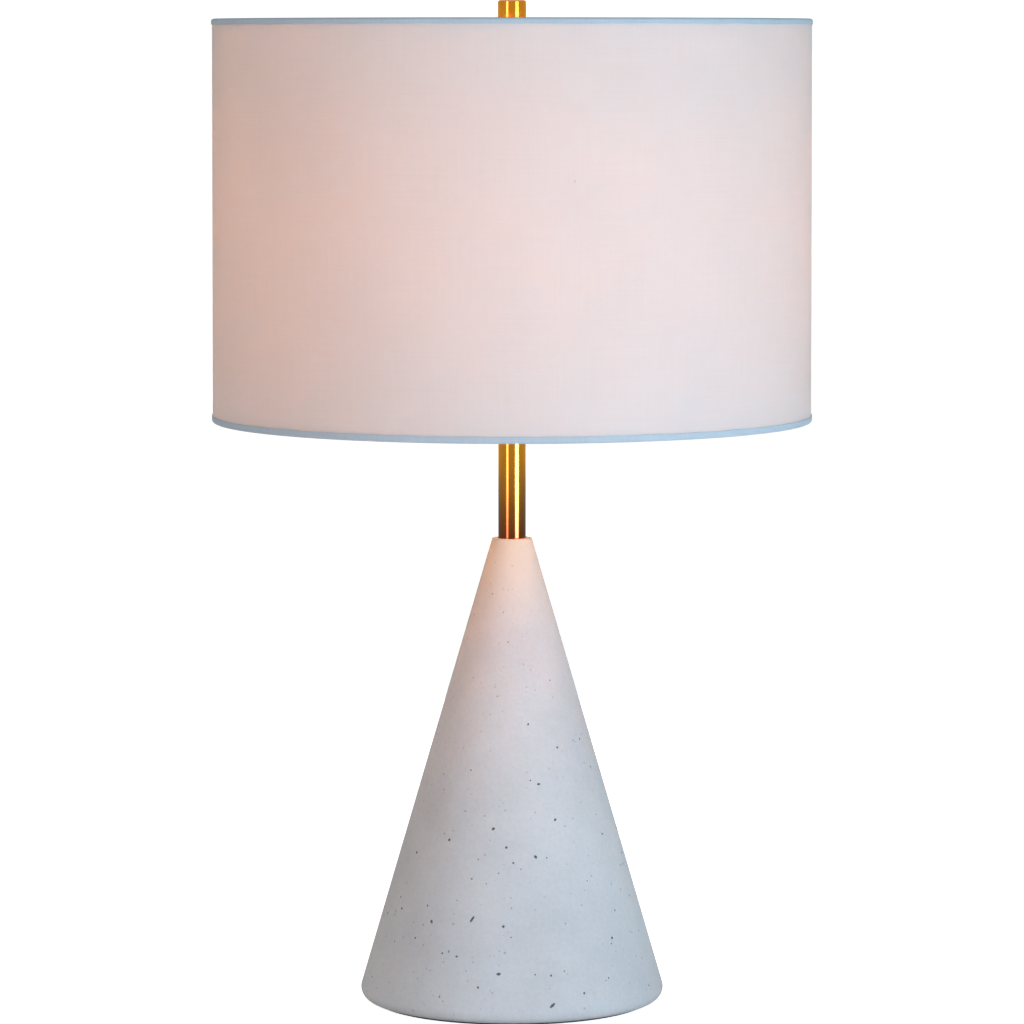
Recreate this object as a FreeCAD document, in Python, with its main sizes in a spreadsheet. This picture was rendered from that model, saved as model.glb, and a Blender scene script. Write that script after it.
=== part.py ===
"""A table lamp: a cast cone on a felt pad, a brass neck, a screw-base lampholder with a turn switch, a bulb,
a detachable harp, and a fabric drum shade held down by a cylindrical finial.

The origin is on the surface the lamp stands on, at the lamp's axis. +Z is up, and -Y is the front. Every
length is in millimetres and comes from the spreadsheet that DIMENSIONS fills. A threaded rod clamps the cone,
the neck and the harp's saddle together, and carries the lampholder on its top end.
"""

import FreeCAD, Part
import os
from types import SimpleNamespace

import Sketcher

DIMENSIONS = (
    # Cast cone
    ("cone_height", 317.0, "cone, from its rim to its flat top"),
    ("cone_base_radius", 106.3, "cone, where its side would meet its underside with no rounding"),
    ("cone_top_radius", 13.5, "cone, at its flat top"),
    ("cone_base_round", 8.0, "rounding of the cone's lower edge"),
    ("cone_top_round", 1.2, "rounding of the cone's upper edge"),
    ("cone_wall", 20.0, "cone's wall at the bottom, measured level"),
    ("cone_rim_width", 5.5, "flat rim that the pad is glued to, outside the cover"),
    ("plug_height", 68.0, "solid top of the cone, which the rod goes through"),
    ("plug_seat_radius", 14.0, "flat under the solid top, where the washer bears"),
    ("cover_thickness", 3.0, "hardboard cover of the cone's hollow"),
    ("cover_gap", 0.2, "play round and above the cover"),
    ("pad_thickness", 1.5, "felt pad"),
    ("pad_margin", 1.4, "how far the pad stops short of the rim's rounding"),
    # Cord outlet
    ("outlet_height", 22.0, "cord outlet's axis above the surface"),
    ("outlet_bore_radius", 3.7, "bushing, inside"),
    ("outlet_wall", 1.8, "bushing's barrel"),
    ("outlet_lip", 1.8, "how far the bushing's flange stands out from the barrel"),
    ("outlet_flange", 3.0, "thickness of the bushing's flange"),
    ("outlet_recess", 2.6, "how far the flange's face lies inside the cone's side"),
    ("outlet_tail", 2.0, "how far the barrel shows in the hollow"),
    ("outlet_gap", 0.15, "play round the bushing"),
    # Rod, nuts and washers
    ("rod_radius", 5.0, "threaded rod, outside"),
    ("rod_bore_radius", 3.5, "threaded rod, inside"),
    ("rod_clearance", 0.3, "radial play of pieces that slip over the rod"),
    ("rod_end", 4.0, "rod below its lower nut"),
    ("washer_radius", 11.0, "flat washer"),
    ("washer_thickness", 1.5, "flat washer"),
    ("lock_washer_radius", 9.0, "split lock washer"),
    ("lock_washer_thickness", 1.8, "split lock washer"),
    ("lock_washer_split", 1.6, "slot of the lock washer"),
    ("nut_flats", 16.0, "both nuts, across flats"),
    ("nut_height", 5.0, "lower nut"),
    ("saddle_nut_height", 3.0, "nut above the saddle"),
    # Neck
    ("neck_radius", 9.55, "neck tube, outside"),
    ("neck_wall", 1.0, "neck tube"),
    ("neck_length", 107.0, "neck tube"),
    ("neck_seat_depth", 4.0, "how far the tube stands in the cone"),
    ("neck_seat_gap", 0.25, "play round the tube in the cone"),
    ("bush_height", 8.0, "centring bush in the tube"),
    ("bush_gap", 0.1, "play of the bush and of the cap's spigot in the tube"),
    ("neck_cap_overhang", 1.05, "cap's flange outside the tube"),
    ("neck_cap_thickness", 2.0, "cap's flange"),
    ("neck_cap_spigot", 5.0, "cap's spigot in the tube"),
    # Harp saddle
    ("saddle_thickness", 1.5, "saddle's strip"),
    ("saddle_margin", 2.7, "saddle's strip on each side of the rod's hole"),
    ("saddle_foot", 19.6, "half of the flat that the nut holds"),
    ("saddle_reach", 31.75, "axis to the outside of the saddle's arms"),
    ("saddle_shoulder", 17.5, "shoulders that the ferrules rest on, above the saddle's underside"),
    ("tongue_height", 12.0, "tongue above the shoulders"),
    ("tongue_width", 4.5, "tongue"),
    ("saddle_bend", 2.0, "outer radius of the saddle's bends"),
    # Lampholder
    ("cap_hub_wall", 1.9, "lampholder cap's threaded hub"),
    ("cap_hub_height", 8.0, "lampholder cap's threaded hub"),
    ("cap_dome_height", 8.5, "lampholder cap's dome"),
    ("cap_skirt_height", 7.5, "lampholder cap's skirt"),
    ("cap_wall", 0.6, "lampholder cap"),
    ("rod_grip", 7.0, "rod inside the hub"),
    ("shell_gap", 0.2, "play between the lampholder's shells"),
    ("socket_room", 0.3, "screw socket to the liner"),
    ("shell_wall", 0.5, "lampholder's shell"),
    ("shell_mouth", 0.4, "lampholder's shell above the screw socket"),
    ("shell_bead", 1.6, "half of the shell's bead"),
    ("shell_lip", 0.8, "shell's thick mouth"),
    ("liner_wall", 0.8, "fibre liner of the shell"),
    ("fibre_wall", 0.4, "fibre liner of the cap"),
    ("fibre_lift", 0.9, "flange of the moulded body above the cap's liner"),
    ("holder_flange", 2.0, "flange of the moulded body"),
    ("holder_cover", 1.9, "moulded body above the switch shaft's hole"),
    ("holder_room", 1.3, "moulded body to the liner"),
    ("flat_depth", 2.1, "depth of the flats that hold the terminals"),
    ("flat_margin", 0.6, "flat round a terminal screw's head"),
    ("terminal_height", 6.0, "terminal screws above the body's underside"),
    ("terminal_head_radius", 3.25, "terminal screw"),
    ("terminal_head", 2.1, "terminal screw's head"),
    ("terminal_shank_radius", 1.5, "terminal screw"),
    ("terminal_shank", 5.0, "terminal screw"),
    ("set_screw_radius", 1.6, "set screw in the hub"),
    ("set_screw_length", 5.0, "set screw in the hub"),
    # Turn switch
    ("switch_height", 9.5, "switch shaft above the moulded body's underside"),
    ("shaft_radius", 2.0, "switch shaft"),
    ("shaft_gap", 0.1, "play round the shaft in the body"),
    ("shaft_hole", 0.7, "play round the shaft in the shells"),
    ("shaft_root", 4.0, "axis to the shaft's inner end"),
    ("knob_stand", 2.0, "knob off the shell"),
    ("knob_length", 14.0, "knob"),
    ("knob_radius", 5.6, "knob"),
    ("knob_grip", 3.2, "knob's thickness across its two flats"),
    ("knob_collar", 4.0, "round collar of the knob"),
    ("knob_bore", 9.0, "depth of the knob's bore"),
    ("knob_fit", 0.03, "play of the knob's bore on the shaft"),
    # Screw base and its socket
    ("thread_pitch", 3.629, "screw base"),
    ("thread_turns", 5, "screw base"),
    ("thread_wave", 1.45, "radius of each crest and root"),
    ("base_mean_radius", 12.85, "screw base, between crest and root"),
    ("base_wall", 0.35, "screw base"),
    ("base_lip", 3.4, "plain top of the screw base"),
    ("socket_gap", 0.16, "bulb's crests to the socket's roots"),
    ("socket_wall", 0.4, "screw socket"),
    ("socket_lead_in", 2.4, "plain mouth of the screw socket"),
    ("socket_floor_hole", 7.6, "hole in the screw socket's floor"),
    ("contact_width", 5.0, "centre contact's strip"),
    ("contact_rise", 2.9, "centre contact"),
    ("tip_gap", 0.1, "bulb's tip above the centre contact"),
    ("tip_radius", 4.7, "bulb's tip"),
    ("tip_height", 1.2, "bulb's tip"),
    ("insulator_height", 3.8, "glass insulator of the base"),
    # Bulb
    ("bulb_length", 110.0, "bulb, tip to crown"),
    ("bulb_radius", 30.0, "bulb's globe"),
    ("bulb_neck_gap", 0.12, "bulb's neck in its screw base"),
    ("bulb_shoulder", 42.0, "hollow curve between neck and globe"),
    ("bulb_wall", 0.7, "bulb's glass"),
    ("bulb_root", 7.0, "glass inside the screw base"),
    ("stem_height", 26.0, "glass stem"),
    ("stem_radius", 3.2, "glass stem"),
    ("support_radius", 0.35, "filament's support wires"),
    ("support_height", 22.0, "support wires above the stem"),
    ("support_spread", 11.0, "half of the filament's span"),
    ("filament_radius", 0.5, "coiled filament"),
    ("filament_sag", 3.0, "filament's bow"),
    # Harp
    ("harp_height", 229.0, "harp, from the saddle to the shade's seat"),
    ("harp_wire_radius", 1.8, "harp's wire"),
    ("harp_gap", 0.35, "wire off the tongue"),
    ("harp_leg", 40.0, "straight leg that the ferrule slides on"),
    ("harp_swell", 30.0, "radius of the curves that widen the harp"),
    ("harp_bow", 57.0, "axis to the wire at the harp's widest"),
    ("harp_shoulder", 44.0, "radius of the harp's upper corners"),
    ("crown_margin", 1.2, "stud's flange to the wire's end on the crown"),
    ("crown_thickness", 2.0, "flattened crown"),
    ("ferrule_height", 15.0, "ferrule"),
    ("ferrule_wall", 0.8, "ferrule"),
    ("ferrule_gap", 0.2, "play inside the ferrule"),
    # Swivel stud
    ("stud_radius", 3.17, "thread that the finial screws on to"),
    ("stud_length", 12.7, "thread that the finial screws on to"),
    ("stud_flange_radius", 6.0, "seat of the shade"),
    ("stud_flange", 2.0, "seat of the shade"),
    ("rivet_radius", 2.5, "swivelling shank"),
    ("rivet_head_radius", 4.2, "riveted end"),
    ("rivet_head", 1.3, "riveted end"),
    ("swivel_gap", 0.05, "play of the swivel, radial and along its axis"),
    # Shade
    ("shade_height", 272.0, "shade, over its hems"),
    ("shade_radius", 203.2, "fabric cover, outside, at the bottom"),
    ("shade_taper", 0.8, "how much narrower the cover is at the top"),
    ("fabric_thickness", 0.5, "fabric cover"),
    ("backing_thickness", 0.5, "stiff backing that the fabric is glued to"),
    ("glue_gap", 0.08, "between fabric and backing"),
    ("ring_radius", 1.5, "wire of the rings and arms"),
    ("ring_gap", 0.15, "between a ring and what it touches"),
    ("hem_thickness", 0.5, "rolled hem"),
    ("hem_depth", 4.5, "hem's outer leg"),
    ("hem_turn", 6.0, "hem's inner leg"),
    ("hem_round", 0.8, "hem's outer corners"),
    ("spider_drop", 15.0, "shade's top edge above the hub"),
    ("hub_radius", 14.0, "spider's hub"),
    ("hub_thickness", 1.5, "spider's hub"),
    ("hub_play", 0.83, "hub's hole round the stud"),
    ("arm_overlap", 3.0, "how far the arms lie on the hub"),
    ("arm_gap", 0.1, "play between an arm and what it is welded to"),
    # Finial
    ("finial_radius", 9.75, "finial"),
    ("finial_height", 27.5, "finial"),
    ("finial_bevel", 0.8, "finial's edges"),
    ("finial_bore_gap", 0.1, "play round the stud"),
    ("finial_bore_end", 3.3, "finial's bore beyond the stud"),
    # Inner leads
    ("lead_radius", 1.1, "insulated lead"),
    ("lead_spacing", 1.4, "axis to each lead in the rod"),
    ("lead_bend", 30.0, "leads' bend at the bottom of the hollow"),
    ("lead_tail", 9.0, "lead from its bend to the splice cap"),
    ("lead_play", 0.3, "lead off the pieces it passes"),
    ("splice_radius", 4.0, "splice cap"),
    ("splice_length", 20.0, "splice cap"),
    ("splice_wall", 0.8, "splice cap"),
)

SHEET_NAME = "Sizes"
LEFT = 1  # an arc that turns left on its way to the next point
RIGHT = -1  # an arc that turns right
TURN = 360.0
HALF_BEND = 0.41421356  # tangent of half of 45 degrees
NEAR = 0.01  # places closer than this are the same
BEAD_ROUND = 1.3  # a bead's arc radius over half its height
ARM_COUNT = 3

TO_FRONT = (FreeCAD.Vector(1, 0, 0), 90)  # turns a body's Z axis to the lamp's -Y
TO_BACK = (FreeCAD.Vector(1, 0, 0), -90)  # turns a body's Z axis to the lamp's +Y
TO_RIGHT = (FreeCAD.Vector(0, 1, 0), 90)  # turns a body's Z axis to the lamp's +X
TO_LEFT = (FreeCAD.Vector(0, 1, 0), -90)  # turns a body's Z axis to the lamp's -X
QUARTER_ROUND = (FreeCAD.Vector(0, 0, 1), 90)  # turns a body's X axis to the lamp's +Y


class Size:
    """A length together with the spreadsheet expression that gives it, so that one formula serves both."""

    def __init__(self, value, text):
        self.value = value
        self.text = text

    def __add__(self, other):
        other = size(other)
        return Size(self.value + other.value, f"({self.text} + {other.text})")

    def __sub__(self, other):
        other = size(other)
        return Size(self.value - other.value, f"({self.text} - {other.text})")

    def __mul__(self, other):
        other = size(other)
        return Size(self.value * other.value, f"({self.text} * {other.text})")

    def __truediv__(self, other):
        other = size(other)
        return Size(self.value / other.value, f"({self.text} / {other.text})")

    def __neg__(self):
        return Size(-self.value, f"(-{self.text})")

    def __radd__(self, other):
        return size(other) + self

    def __rsub__(self, other):
        return size(other) - self

    def __rmul__(self, other):
        return size(other) * self


def size(thing):
    """A number as a Size. A Size stays as it is."""
    if isinstance(thing, Size):
        return thing
    return Size(float(thing), f"({float(thing):.10g})")


def root(thing):
    return Size(thing.value**0.5, f"sqrt({thing.text})")


def fill_sheet(doc):
    """Writes DIMENSIONS into the spreadsheet and returns each one as a Size, by its alias."""
    sheet = doc.addObject("Spreadsheet::Sheet", SHEET_NAME)
    sizes = SimpleNamespace()
    for row, (alias, value, note) in enumerate(DIMENSIONS, start=1):
        sheet.set(f"A{row}", note)
        sheet.set(f"B{row}", str(value))
        sheet.setAlias(f"B{row}", alias)
        setattr(sizes, alias, Size(float(value), f"{SHEET_NAME}.{alias}"))
    doc.recompute()
    return sizes


# Sketches and features


def origin_plane(body, role):
    return next(feature for feature in body.Origin.OriginFeatures if feature.Role == role)


def new_sketch(body, plane, height=None):
    """A sketch on one of the body's own origin planes, raised along the plane's normal by height."""
    sketch = body.newObject("Sketcher::SketchObject", f"{body.Name}_sketch")
    sketch.AttachmentSupport = (origin_plane(body, plane), [""])
    sketch.MapMode = "FlatFace"
    if height is not None:
        sketch.AttachmentOffset = FreeCAD.Placement(FreeCAD.Vector(0, 0, height.value), FreeCAD.Rotation())
        sketch.setExpression("AttachmentOffset.Base.z", height.text)
    return sketch


def pin_point(sketch, geometry, end, point):
    """Holds one end of an edge at the point's two coordinates, counted from the sketch's origin."""
    for kind, coordinate in zip(("DistanceX", "DistanceY"), point):
        coordinate = size(coordinate)
        index = sketch.addConstraint(Sketcher.Constraint(kind, -1, 1, geometry, end, coordinate.value))
        sketch.setExpression(f"Constraints[{index}]", coordinate.text)


def arc_between(start, end, radius, side):
    """The arc of at most a half turn from start to end. Side says which way it turns."""
    chord = end - start
    middle = start + chord * 0.5
    off = max(radius**2 - (chord.Length / 2) ** 2, 0.0) ** 0.5
    left = FreeCAD.Vector(-chord.y, chord.x, 0).normalize()
    bulge = middle - left * side * (radius - off)
    return Part.Arc(start, bulge, end)


def add_path(sketch, points, closed=True):
    """Adds lines and arcs through points, each (x, y), or (x, y, radius, side) where an arc follows it."""
    count = len(points)
    places = [FreeCAD.Vector(size(p[0]).value, size(p[1]).value, 0) for p in points]
    first = sketch.GeometryCount
    edges = count if closed else count - 1
    ends = []
    for i in range(edges):
        start, end = places[i], places[(i + 1) % count]
        if len(points[i]) == 2:
            sketch.addGeometry(Part.LineSegment(start, end), False)
            ends.append((1, 2))
            continue
        radius, side = points[i][2], points[i][3]
        number = sketch.addGeometry(arc_between(start, end, radius.value, side), False)
        ends.append((1, 2) if side == LEFT else (2, 1))
        index = sketch.addConstraint(Sketcher.Constraint("Radius", number, radius.value))
        sketch.setExpression(f"Constraints[{index}]", radius.text)
    for i in range(edges if closed else edges - 1):
        after = (i + 1) % edges
        sketch.addConstraint(
            Sketcher.Constraint("Coincident", first + i, ends[i][1], first + after, ends[after][0])
        )
    for i in range(edges):
        pin_point(sketch, first + i, ends[i][0], points[i][:2])
    if not closed:
        pin_point(sketch, first + edges - 1, ends[-1][1], points[-1][:2])


def flipped(points):
    """The points on the other side of the vertical axis, with their arcs turned the other way."""
    turned_over = []
    for point in points:
        arc = (point[2], -point[3]) if len(point) > 2 else ()
        turned_over.append((-size(point[0]), point[1]) + arc)
    return turned_over


def both_sides(points):
    return (points, flipped(points))


def add_circle(sketch, centre, radius):
    place = FreeCAD.Vector(size(centre[0]).value, size(centre[1]).value, 0)
    number = sketch.addGeometry(Part.Circle(place, FreeCAD.Vector(0, 0, 1), radius.value), False)
    pin_point(sketch, number, 3, centre)
    index = sketch.addConstraint(Sketcher.Constraint("Radius", number, radius.value))
    sketch.setExpression(f"Constraints[{index}]", radius.text)


def add_hexagon(sketch, flats):
    """A regular hexagon about the origin, with two corners on the X axis."""
    corner = flats / root(size(3))
    half = corner / 2
    add_path(
        sketch,
        [
            (corner, 0),
            (half, flats / 2),
            (-half, flats / 2),
            (-corner, 0),
            (-half, -(flats / 2)),
            (half, -(flats / 2)),
        ],
    )


def new_body(doc, name):
    body = doc.addObject("PartDesign::Body", name)
    body.Label = name
    return body


def group(doc, name, bodies):
    """Several loose pieces of one kind as one sub-part."""
    together = doc.addObject("Part::Compound", name)
    together.Label = name
    together.Links = bodies
    return together


def feature(body, kind, profile):
    made = body.newObject(f"PartDesign::{kind}", f"{body.Name}_{kind.lower()}")
    made.Profile = profile
    return made


def revolve(body, points, kind="Revolution"):
    """Turns an outline in the (radius, height) plane about the body's Z axis."""
    sketch = new_sketch(body, "XZ_Plane")
    add_path(sketch, points)
    made = feature(body, kind, sketch)
    made.ReferenceAxis = (sketch, ["V_Axis"])
    made.Angle = TURN
    return made


def turned(doc, name, points):
    """A body that is one outline turned about Z."""
    body = new_body(doc, name)
    revolve(body, points)
    return body


def ring(doc, name, inner, outer, bottom, top):
    """A turned body with a rectangular section."""
    return turned(doc, name, [(inner, bottom), (outer, bottom), (outer, top), (inner, top)])


def pad(body, sketch, length, symmetric=False, back=False):
    made = feature(body, "Pad", sketch)
    made.Length = length.value
    made.setExpression("Length", length.text)
    made.SideType = "Symmetric" if symmetric else "One side"
    made.Reversed = back
    return made


def pocket(body, sketch, length, symmetric=False, back=False):
    """Cuts the sketch's shape. It cuts against the sketch's normal, or along it with back."""
    made = feature(body, "Pocket", sketch)
    made.Length = length.value
    made.setExpression("Length", length.text)
    made.SideType = "Symmetric" if symmetric else "One side"
    made.Reversed = back
    return made


def drill(body, plane, centre, radius, depth, symmetric=False, back=False):
    sketch = new_sketch(body, plane)
    add_circle(sketch, centre, radius)
    return pocket(body, sketch, depth, symmetric, back)


def wire_along(body, route, radius, profile_plane="XY_Plane"):
    """A round wire along a route in the XZ plane whose first run is square to profile_plane."""
    path = new_sketch(body, "XZ_Plane")
    add_path(path, route, closed=False)
    start = route[0]
    if profile_plane == "XY_Plane":
        section = new_sketch(body, profile_plane, size(start[1]))
        add_circle(section, (start[0], 0), radius)
    else:
        section = new_sketch(body, profile_plane, size(start[0]))
        add_circle(section, (0, start[1]), radius)
    pipe = feature(body, "AdditivePipe", section)
    pipe.Spine = path
    return pipe


def pattern_about_z(body, features, count):
    body.Document.recompute()
    pattern = body.newObject("PartDesign::PolarPattern", f"{body.Name}_pattern")
    pattern.Originals = features
    pattern.Axis = (origin_line(body, "Z_Axis"), [""])
    pattern.Angle = TURN
    pattern.Occurrences = count
    body.Tip = pattern
    return pattern


def mirror_across(body, features, plane):
    body.Document.recompute()
    mirrored = body.newObject("PartDesign::Mirrored", f"{body.Name}_mirrored")
    mirrored.Originals = features
    mirrored.MirrorPlane = (origin_plane(body, plane), [""])
    body.Tip = mirrored
    return mirrored


def origin_line(body, role):
    return next(line for line in body.Origin.OriginFeatures if line.Role == role)


def dress(body, kind, amount, wanted):
    """Rounds or bevels the edges of the body's tip that wanted picks."""
    body.Document.recompute()
    base = body.Tip
    names = [f"Edge{i}" for i, edge in enumerate(base.Shape.Edges, start=1) if wanted(edge)]
    made = body.newObject(f"PartDesign::{kind}", f"{body.Name}_{kind.lower()}")
    made.Base = (base, names)
    attribute = "Radius" if kind == "Fillet" else "Size"
    setattr(made, attribute, amount.value)
    made.setExpression(attribute, amount.text)
    return made


def place(body, x=None, y=None, z=None, turn=None):
    """Puts a finished body where it belongs. Turn is (axis, degrees)."""
    rotation = FreeCAD.Rotation(*turn) if turn else FreeCAD.Rotation()
    body.Placement = FreeCAD.Placement(FreeCAD.Vector(0, 0, 0), rotation)
    for axis, value in (("x", x), ("y", y), ("z", z)):
        if value is not None:
            body.setExpression(f"Placement.Base.{axis}", value.text)


# Heights and radii that several pieces share


def shared_places(d):
    """The levels and radii where pieces meet, worked out from the dimensions d."""
    g = SimpleNamespace()
    g.cone_bottom = d.pad_thickness
    g.cone_top = g.cone_bottom + d.cone_height
    g.cone_slope = (d.cone_base_radius - d.cone_top_radius) / d.cone_height
    steepness = size(1) / g.cone_slope
    g.round_reach = d.cone_base_round * steepness / (root(steepness * steepness + 1) - 1)
    g.rim_outer = d.cone_base_radius - g.round_reach
    g.rebate_radius = g.rim_outer - d.cone_rim_width
    g.ledge = g.cone_bottom + d.cover_thickness + d.cover_gap
    g.plug_bottom = g.cone_top - d.plug_height
    g.outlet_face = cone_radius(d, g, d.outlet_height) - d.outlet_recess
    g.outlet_seat = g.outlet_face - d.outlet_flange
    g.outlet_barrel = d.outlet_bore_radius + d.outlet_wall
    g.outlet_rim = g.outlet_barrel + d.outlet_lip
    g.outlet_inner = cavity_radius(d, g, d.outlet_height) - d.outlet_tail
    g.rod_hole = d.rod_radius + d.rod_clearance
    g.washer_bottom = g.plug_bottom - d.washer_thickness
    g.lock_bottom = g.washer_bottom - d.lock_washer_thickness
    g.nut_bottom = g.lock_bottom - d.nut_height
    g.rod_bottom = g.nut_bottom - d.rod_end
    g.neck_bottom = g.cone_top - d.neck_seat_depth
    g.neck_top = g.neck_bottom + d.neck_length
    g.neck_bore = d.neck_radius - d.neck_wall
    g.saddle_bottom = g.neck_top + d.neck_cap_thickness
    g.saddle_top = g.saddle_bottom + d.saddle_thickness
    g.saddle_width = 2 * (g.rod_hole + d.saddle_margin)
    g.shoulder = g.saddle_bottom + d.saddle_shoulder
    g.holder_bottom = g.saddle_top + d.saddle_nut_height
    g.rod_top = g.holder_bottom + d.rod_grip
    g.thread_hole = d.rod_radius + d.rod_clearance / 3
    g.hub_radius = g.thread_hole + d.cap_hub_wall
    g.hub_top = g.holder_bottom + d.cap_hub_height
    g.dome_top = g.hub_top + d.cap_dome_height
    g.skirt_top = g.dome_top + d.cap_skirt_height
    g.crest = wave_height(d)
    g.socket_mean = d.base_mean_radius + 2 * g.crest + d.socket_gap
    g.liner_inner = g.socket_mean + g.crest + d.socket_wall + d.socket_room
    g.liner_outer = g.liner_inner + d.liner_wall
    g.shell_inner = g.liner_outer + d.shell_gap
    g.shell_outer = g.shell_inner + d.shell_wall
    g.cap_inner = g.shell_outer + d.shell_gap
    g.cap_radius = g.cap_inner + d.cap_wall
    g.holder_radius = g.liner_inner - d.holder_room
    g.holder_flat = g.holder_radius - d.flat_depth
    g.flange_bottom = g.dome_top + 2 * d.fibre_wall + d.fibre_lift
    g.flange_top = g.flange_bottom + d.holder_flange
    g.switch = g.flange_bottom + d.switch_height
    g.terminal = g.flange_bottom + d.terminal_height
    g.holder_top = g.switch + d.shaft_radius + d.shaft_gap + d.holder_cover
    g.tip = g.holder_top + d.contact_rise + d.tip_gap
    g.insulator_bottom = g.tip + d.tip_height
    g.thread_bottom = g.insulator_bottom + d.insulator_height
    g.thread_top = g.thread_bottom + d.thread_turns * d.thread_pitch
    g.base_top = g.thread_top + d.base_lip
    g.socket_top = g.thread_top + d.socket_lead_in
    g.shell_bottom = g.flange_top
    g.shell_top = g.socket_top + d.shell_mouth
    g.knob_start = g.cap_radius + d.knob_stand
    g.neck_glass = d.base_mean_radius - g.crest - d.base_wall - d.bulb_neck_gap
    g.bulb_top = g.tip + d.bulb_length
    g.globe = g.bulb_top - d.bulb_radius
    g.stem_bottom = g.base_top - d.bulb_root
    g.stem_top = g.stem_bottom + d.stem_height
    g.leg_x = d.saddle_reach + d.harp_gap + d.harp_wire_radius
    g.seat = g.saddle_top + d.harp_height
    g.crown_top = g.seat - d.stud_flange - d.swivel_gap
    g.crown_middle = g.crown_top - d.crown_thickness / 2
    g.crown_bottom = g.crown_top - d.crown_thickness
    g.crown_radius = d.stud_flange_radius + d.crown_margin + d.harp_wire_radius
    g.hub_upper = g.seat + d.hub_thickness
    g.hub_hole = d.stud_radius + d.hub_play
    g.shade_top = g.hub_upper + d.spider_drop
    g.shade_bottom = g.shade_top - d.shade_height
    g.wall_top = g.shade_top - d.hem_thickness - d.ring_gap
    g.wall_bottom = g.shade_bottom + d.hem_thickness + d.ring_gap
    g.backing_step = d.fabric_thickness + d.glue_gap
    g.wall_step = g.backing_step + d.backing_thickness
    g.ring_step = g.wall_step + d.ring_gap + d.ring_radius
    g.ring_top = g.wall_top - d.ring_radius
    g.ring_bottom = g.wall_bottom + d.ring_radius
    g.arm_outer = g.ring_top - 2 * d.arm_gap
    g.splice = g.cone_bottom + d.cover_thickness + d.splice_radius + d.lead_play
    g.lead_outer = g.holder_flat + d.lead_radius + d.lead_play
    return g


def cone_radius(d, g, height):
    """The cone's outer radius at a height."""
    return d.cone_base_radius - g.cone_slope * (height - g.cone_bottom)


def cavity_radius(d, g, height):
    """The hollow's radius at a height: straight from the ledge's wall to the seat under the solid top."""
    low = cone_radius(d, g, g.ledge) - d.cone_wall
    share = (height - g.ledge) / (g.plug_bottom - g.ledge)
    return low + (d.plug_seat_radius - low) * share


def cover_radius(d, g, height):
    """The fabric cover's outer radius at a height."""
    share = (height - g.shade_bottom) / d.shade_height
    return d.shade_radius - d.shade_taper * share


def wave_height(d):
    """How far a crest of the screw base stands off its mean radius."""
    quarter = d.thread_pitch / 4
    return d.thread_wave - root(d.thread_wave * d.thread_wave - quarter * quarter)


def thread_points(d, radius, bottom, upward):
    """The wavy side of a rolled thread, as arcs between points half a pitch apart."""
    count = 2 * int(d.thread_turns.value)
    points = []
    for i in range(count):
        step = i if upward else count - i
        side = LEFT if i % 2 == 0 else RIGHT
        points.append((radius, bottom + d.thread_pitch * (step / 2), d.thread_wave, side))
    points.append((radius, bottom + d.thread_pitch * (count / 2 if upward else 0)))
    return points


# Base


def cone_body(doc, d, g):
    body = new_body(doc, "cone_body")
    hole = g.rod_hole
    seat = d.neck_radius + d.neck_seat_gap
    revolve(
        body,
        [
            (hole, g.plug_bottom),
            (d.plug_seat_radius, g.plug_bottom),
            (cavity_radius(d, g, g.ledge), g.ledge),
            (g.rebate_radius, g.ledge),
            (g.rebate_radius, g.cone_bottom),
            (d.cone_base_radius, g.cone_bottom),
            (d.cone_top_radius, g.cone_top),
            (seat, g.cone_top),
            (seat, g.neck_bottom),
            (hole, g.neck_bottom),
        ],
    )
    base = d.cone_base_radius.value
    top = d.cone_top_radius.value

    def round_at(radius, height):
        def wanted(edge):
            box = edge.BoundBox
            level = box.ZLength < NEAR and abs(box.ZMin - height.value) < NEAR
            return level and abs(box.XMax - radius) < NEAR

        return wanted

    dress(body, "Fillet", d.cone_base_round, round_at(base, g.cone_bottom))
    dress(body, "Fillet", d.cone_top_round, round_at(top, g.cone_top))
    drill(body, "XZ_Plane", (0, d.outlet_height), g.outlet_barrel + d.outlet_gap, d.cone_base_radius)
    recess = new_sketch(body, "XZ_Plane", -g.outlet_seat)
    add_circle(recess, (0, d.outlet_height), g.outlet_rim + d.outlet_gap)
    pocket(body, recess, d.cone_wall)
    return body


def bottom_cover(doc, d, g):
    outer = g.rebate_radius - d.cover_gap
    top = g.cone_bottom + d.cover_thickness
    return turned(doc, "bottom_cover", [(0, g.cone_bottom), (outer, g.cone_bottom), (outer, top), (0, top)])


def felt_pad(doc, d, g):
    outer = g.rim_outer - d.pad_margin
    return turned(doc, "felt_pad", [(0, 0), (outer, 0), (outer, d.pad_thickness), (0, d.pad_thickness)])


def cord_bushing(doc, d, g):
    """Built with its outer face at its own origin and its tail along -Z."""
    body = new_body(doc, "cord_bushing")
    length = g.outlet_face - g.outlet_inner
    revolve(
        body,
        [
            (d.outlet_bore_radius, -length),
            (g.outlet_barrel, -length),
            (g.outlet_barrel, -d.outlet_flange),
            (g.outlet_rim, -d.outlet_flange),
            (g.outlet_rim, 0),
            (d.outlet_bore_radius, 0),
        ],
    )
    rim = g.outlet_rim.value
    dress(
        body,
        "Fillet",
        d.outlet_flange / 4,
        lambda edge: edge.BoundBox.ZMin > -NEAR and edge.BoundBox.XMax > rim - NEAR,
    )
    place(body, y=g.outlet_face, z=d.outlet_height, turn=TO_BACK)
    return body


def plug_washer(doc, d, g):
    return ring(doc, "plug_washer", g.rod_hole, d.washer_radius, g.washer_bottom, g.plug_bottom)


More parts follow.
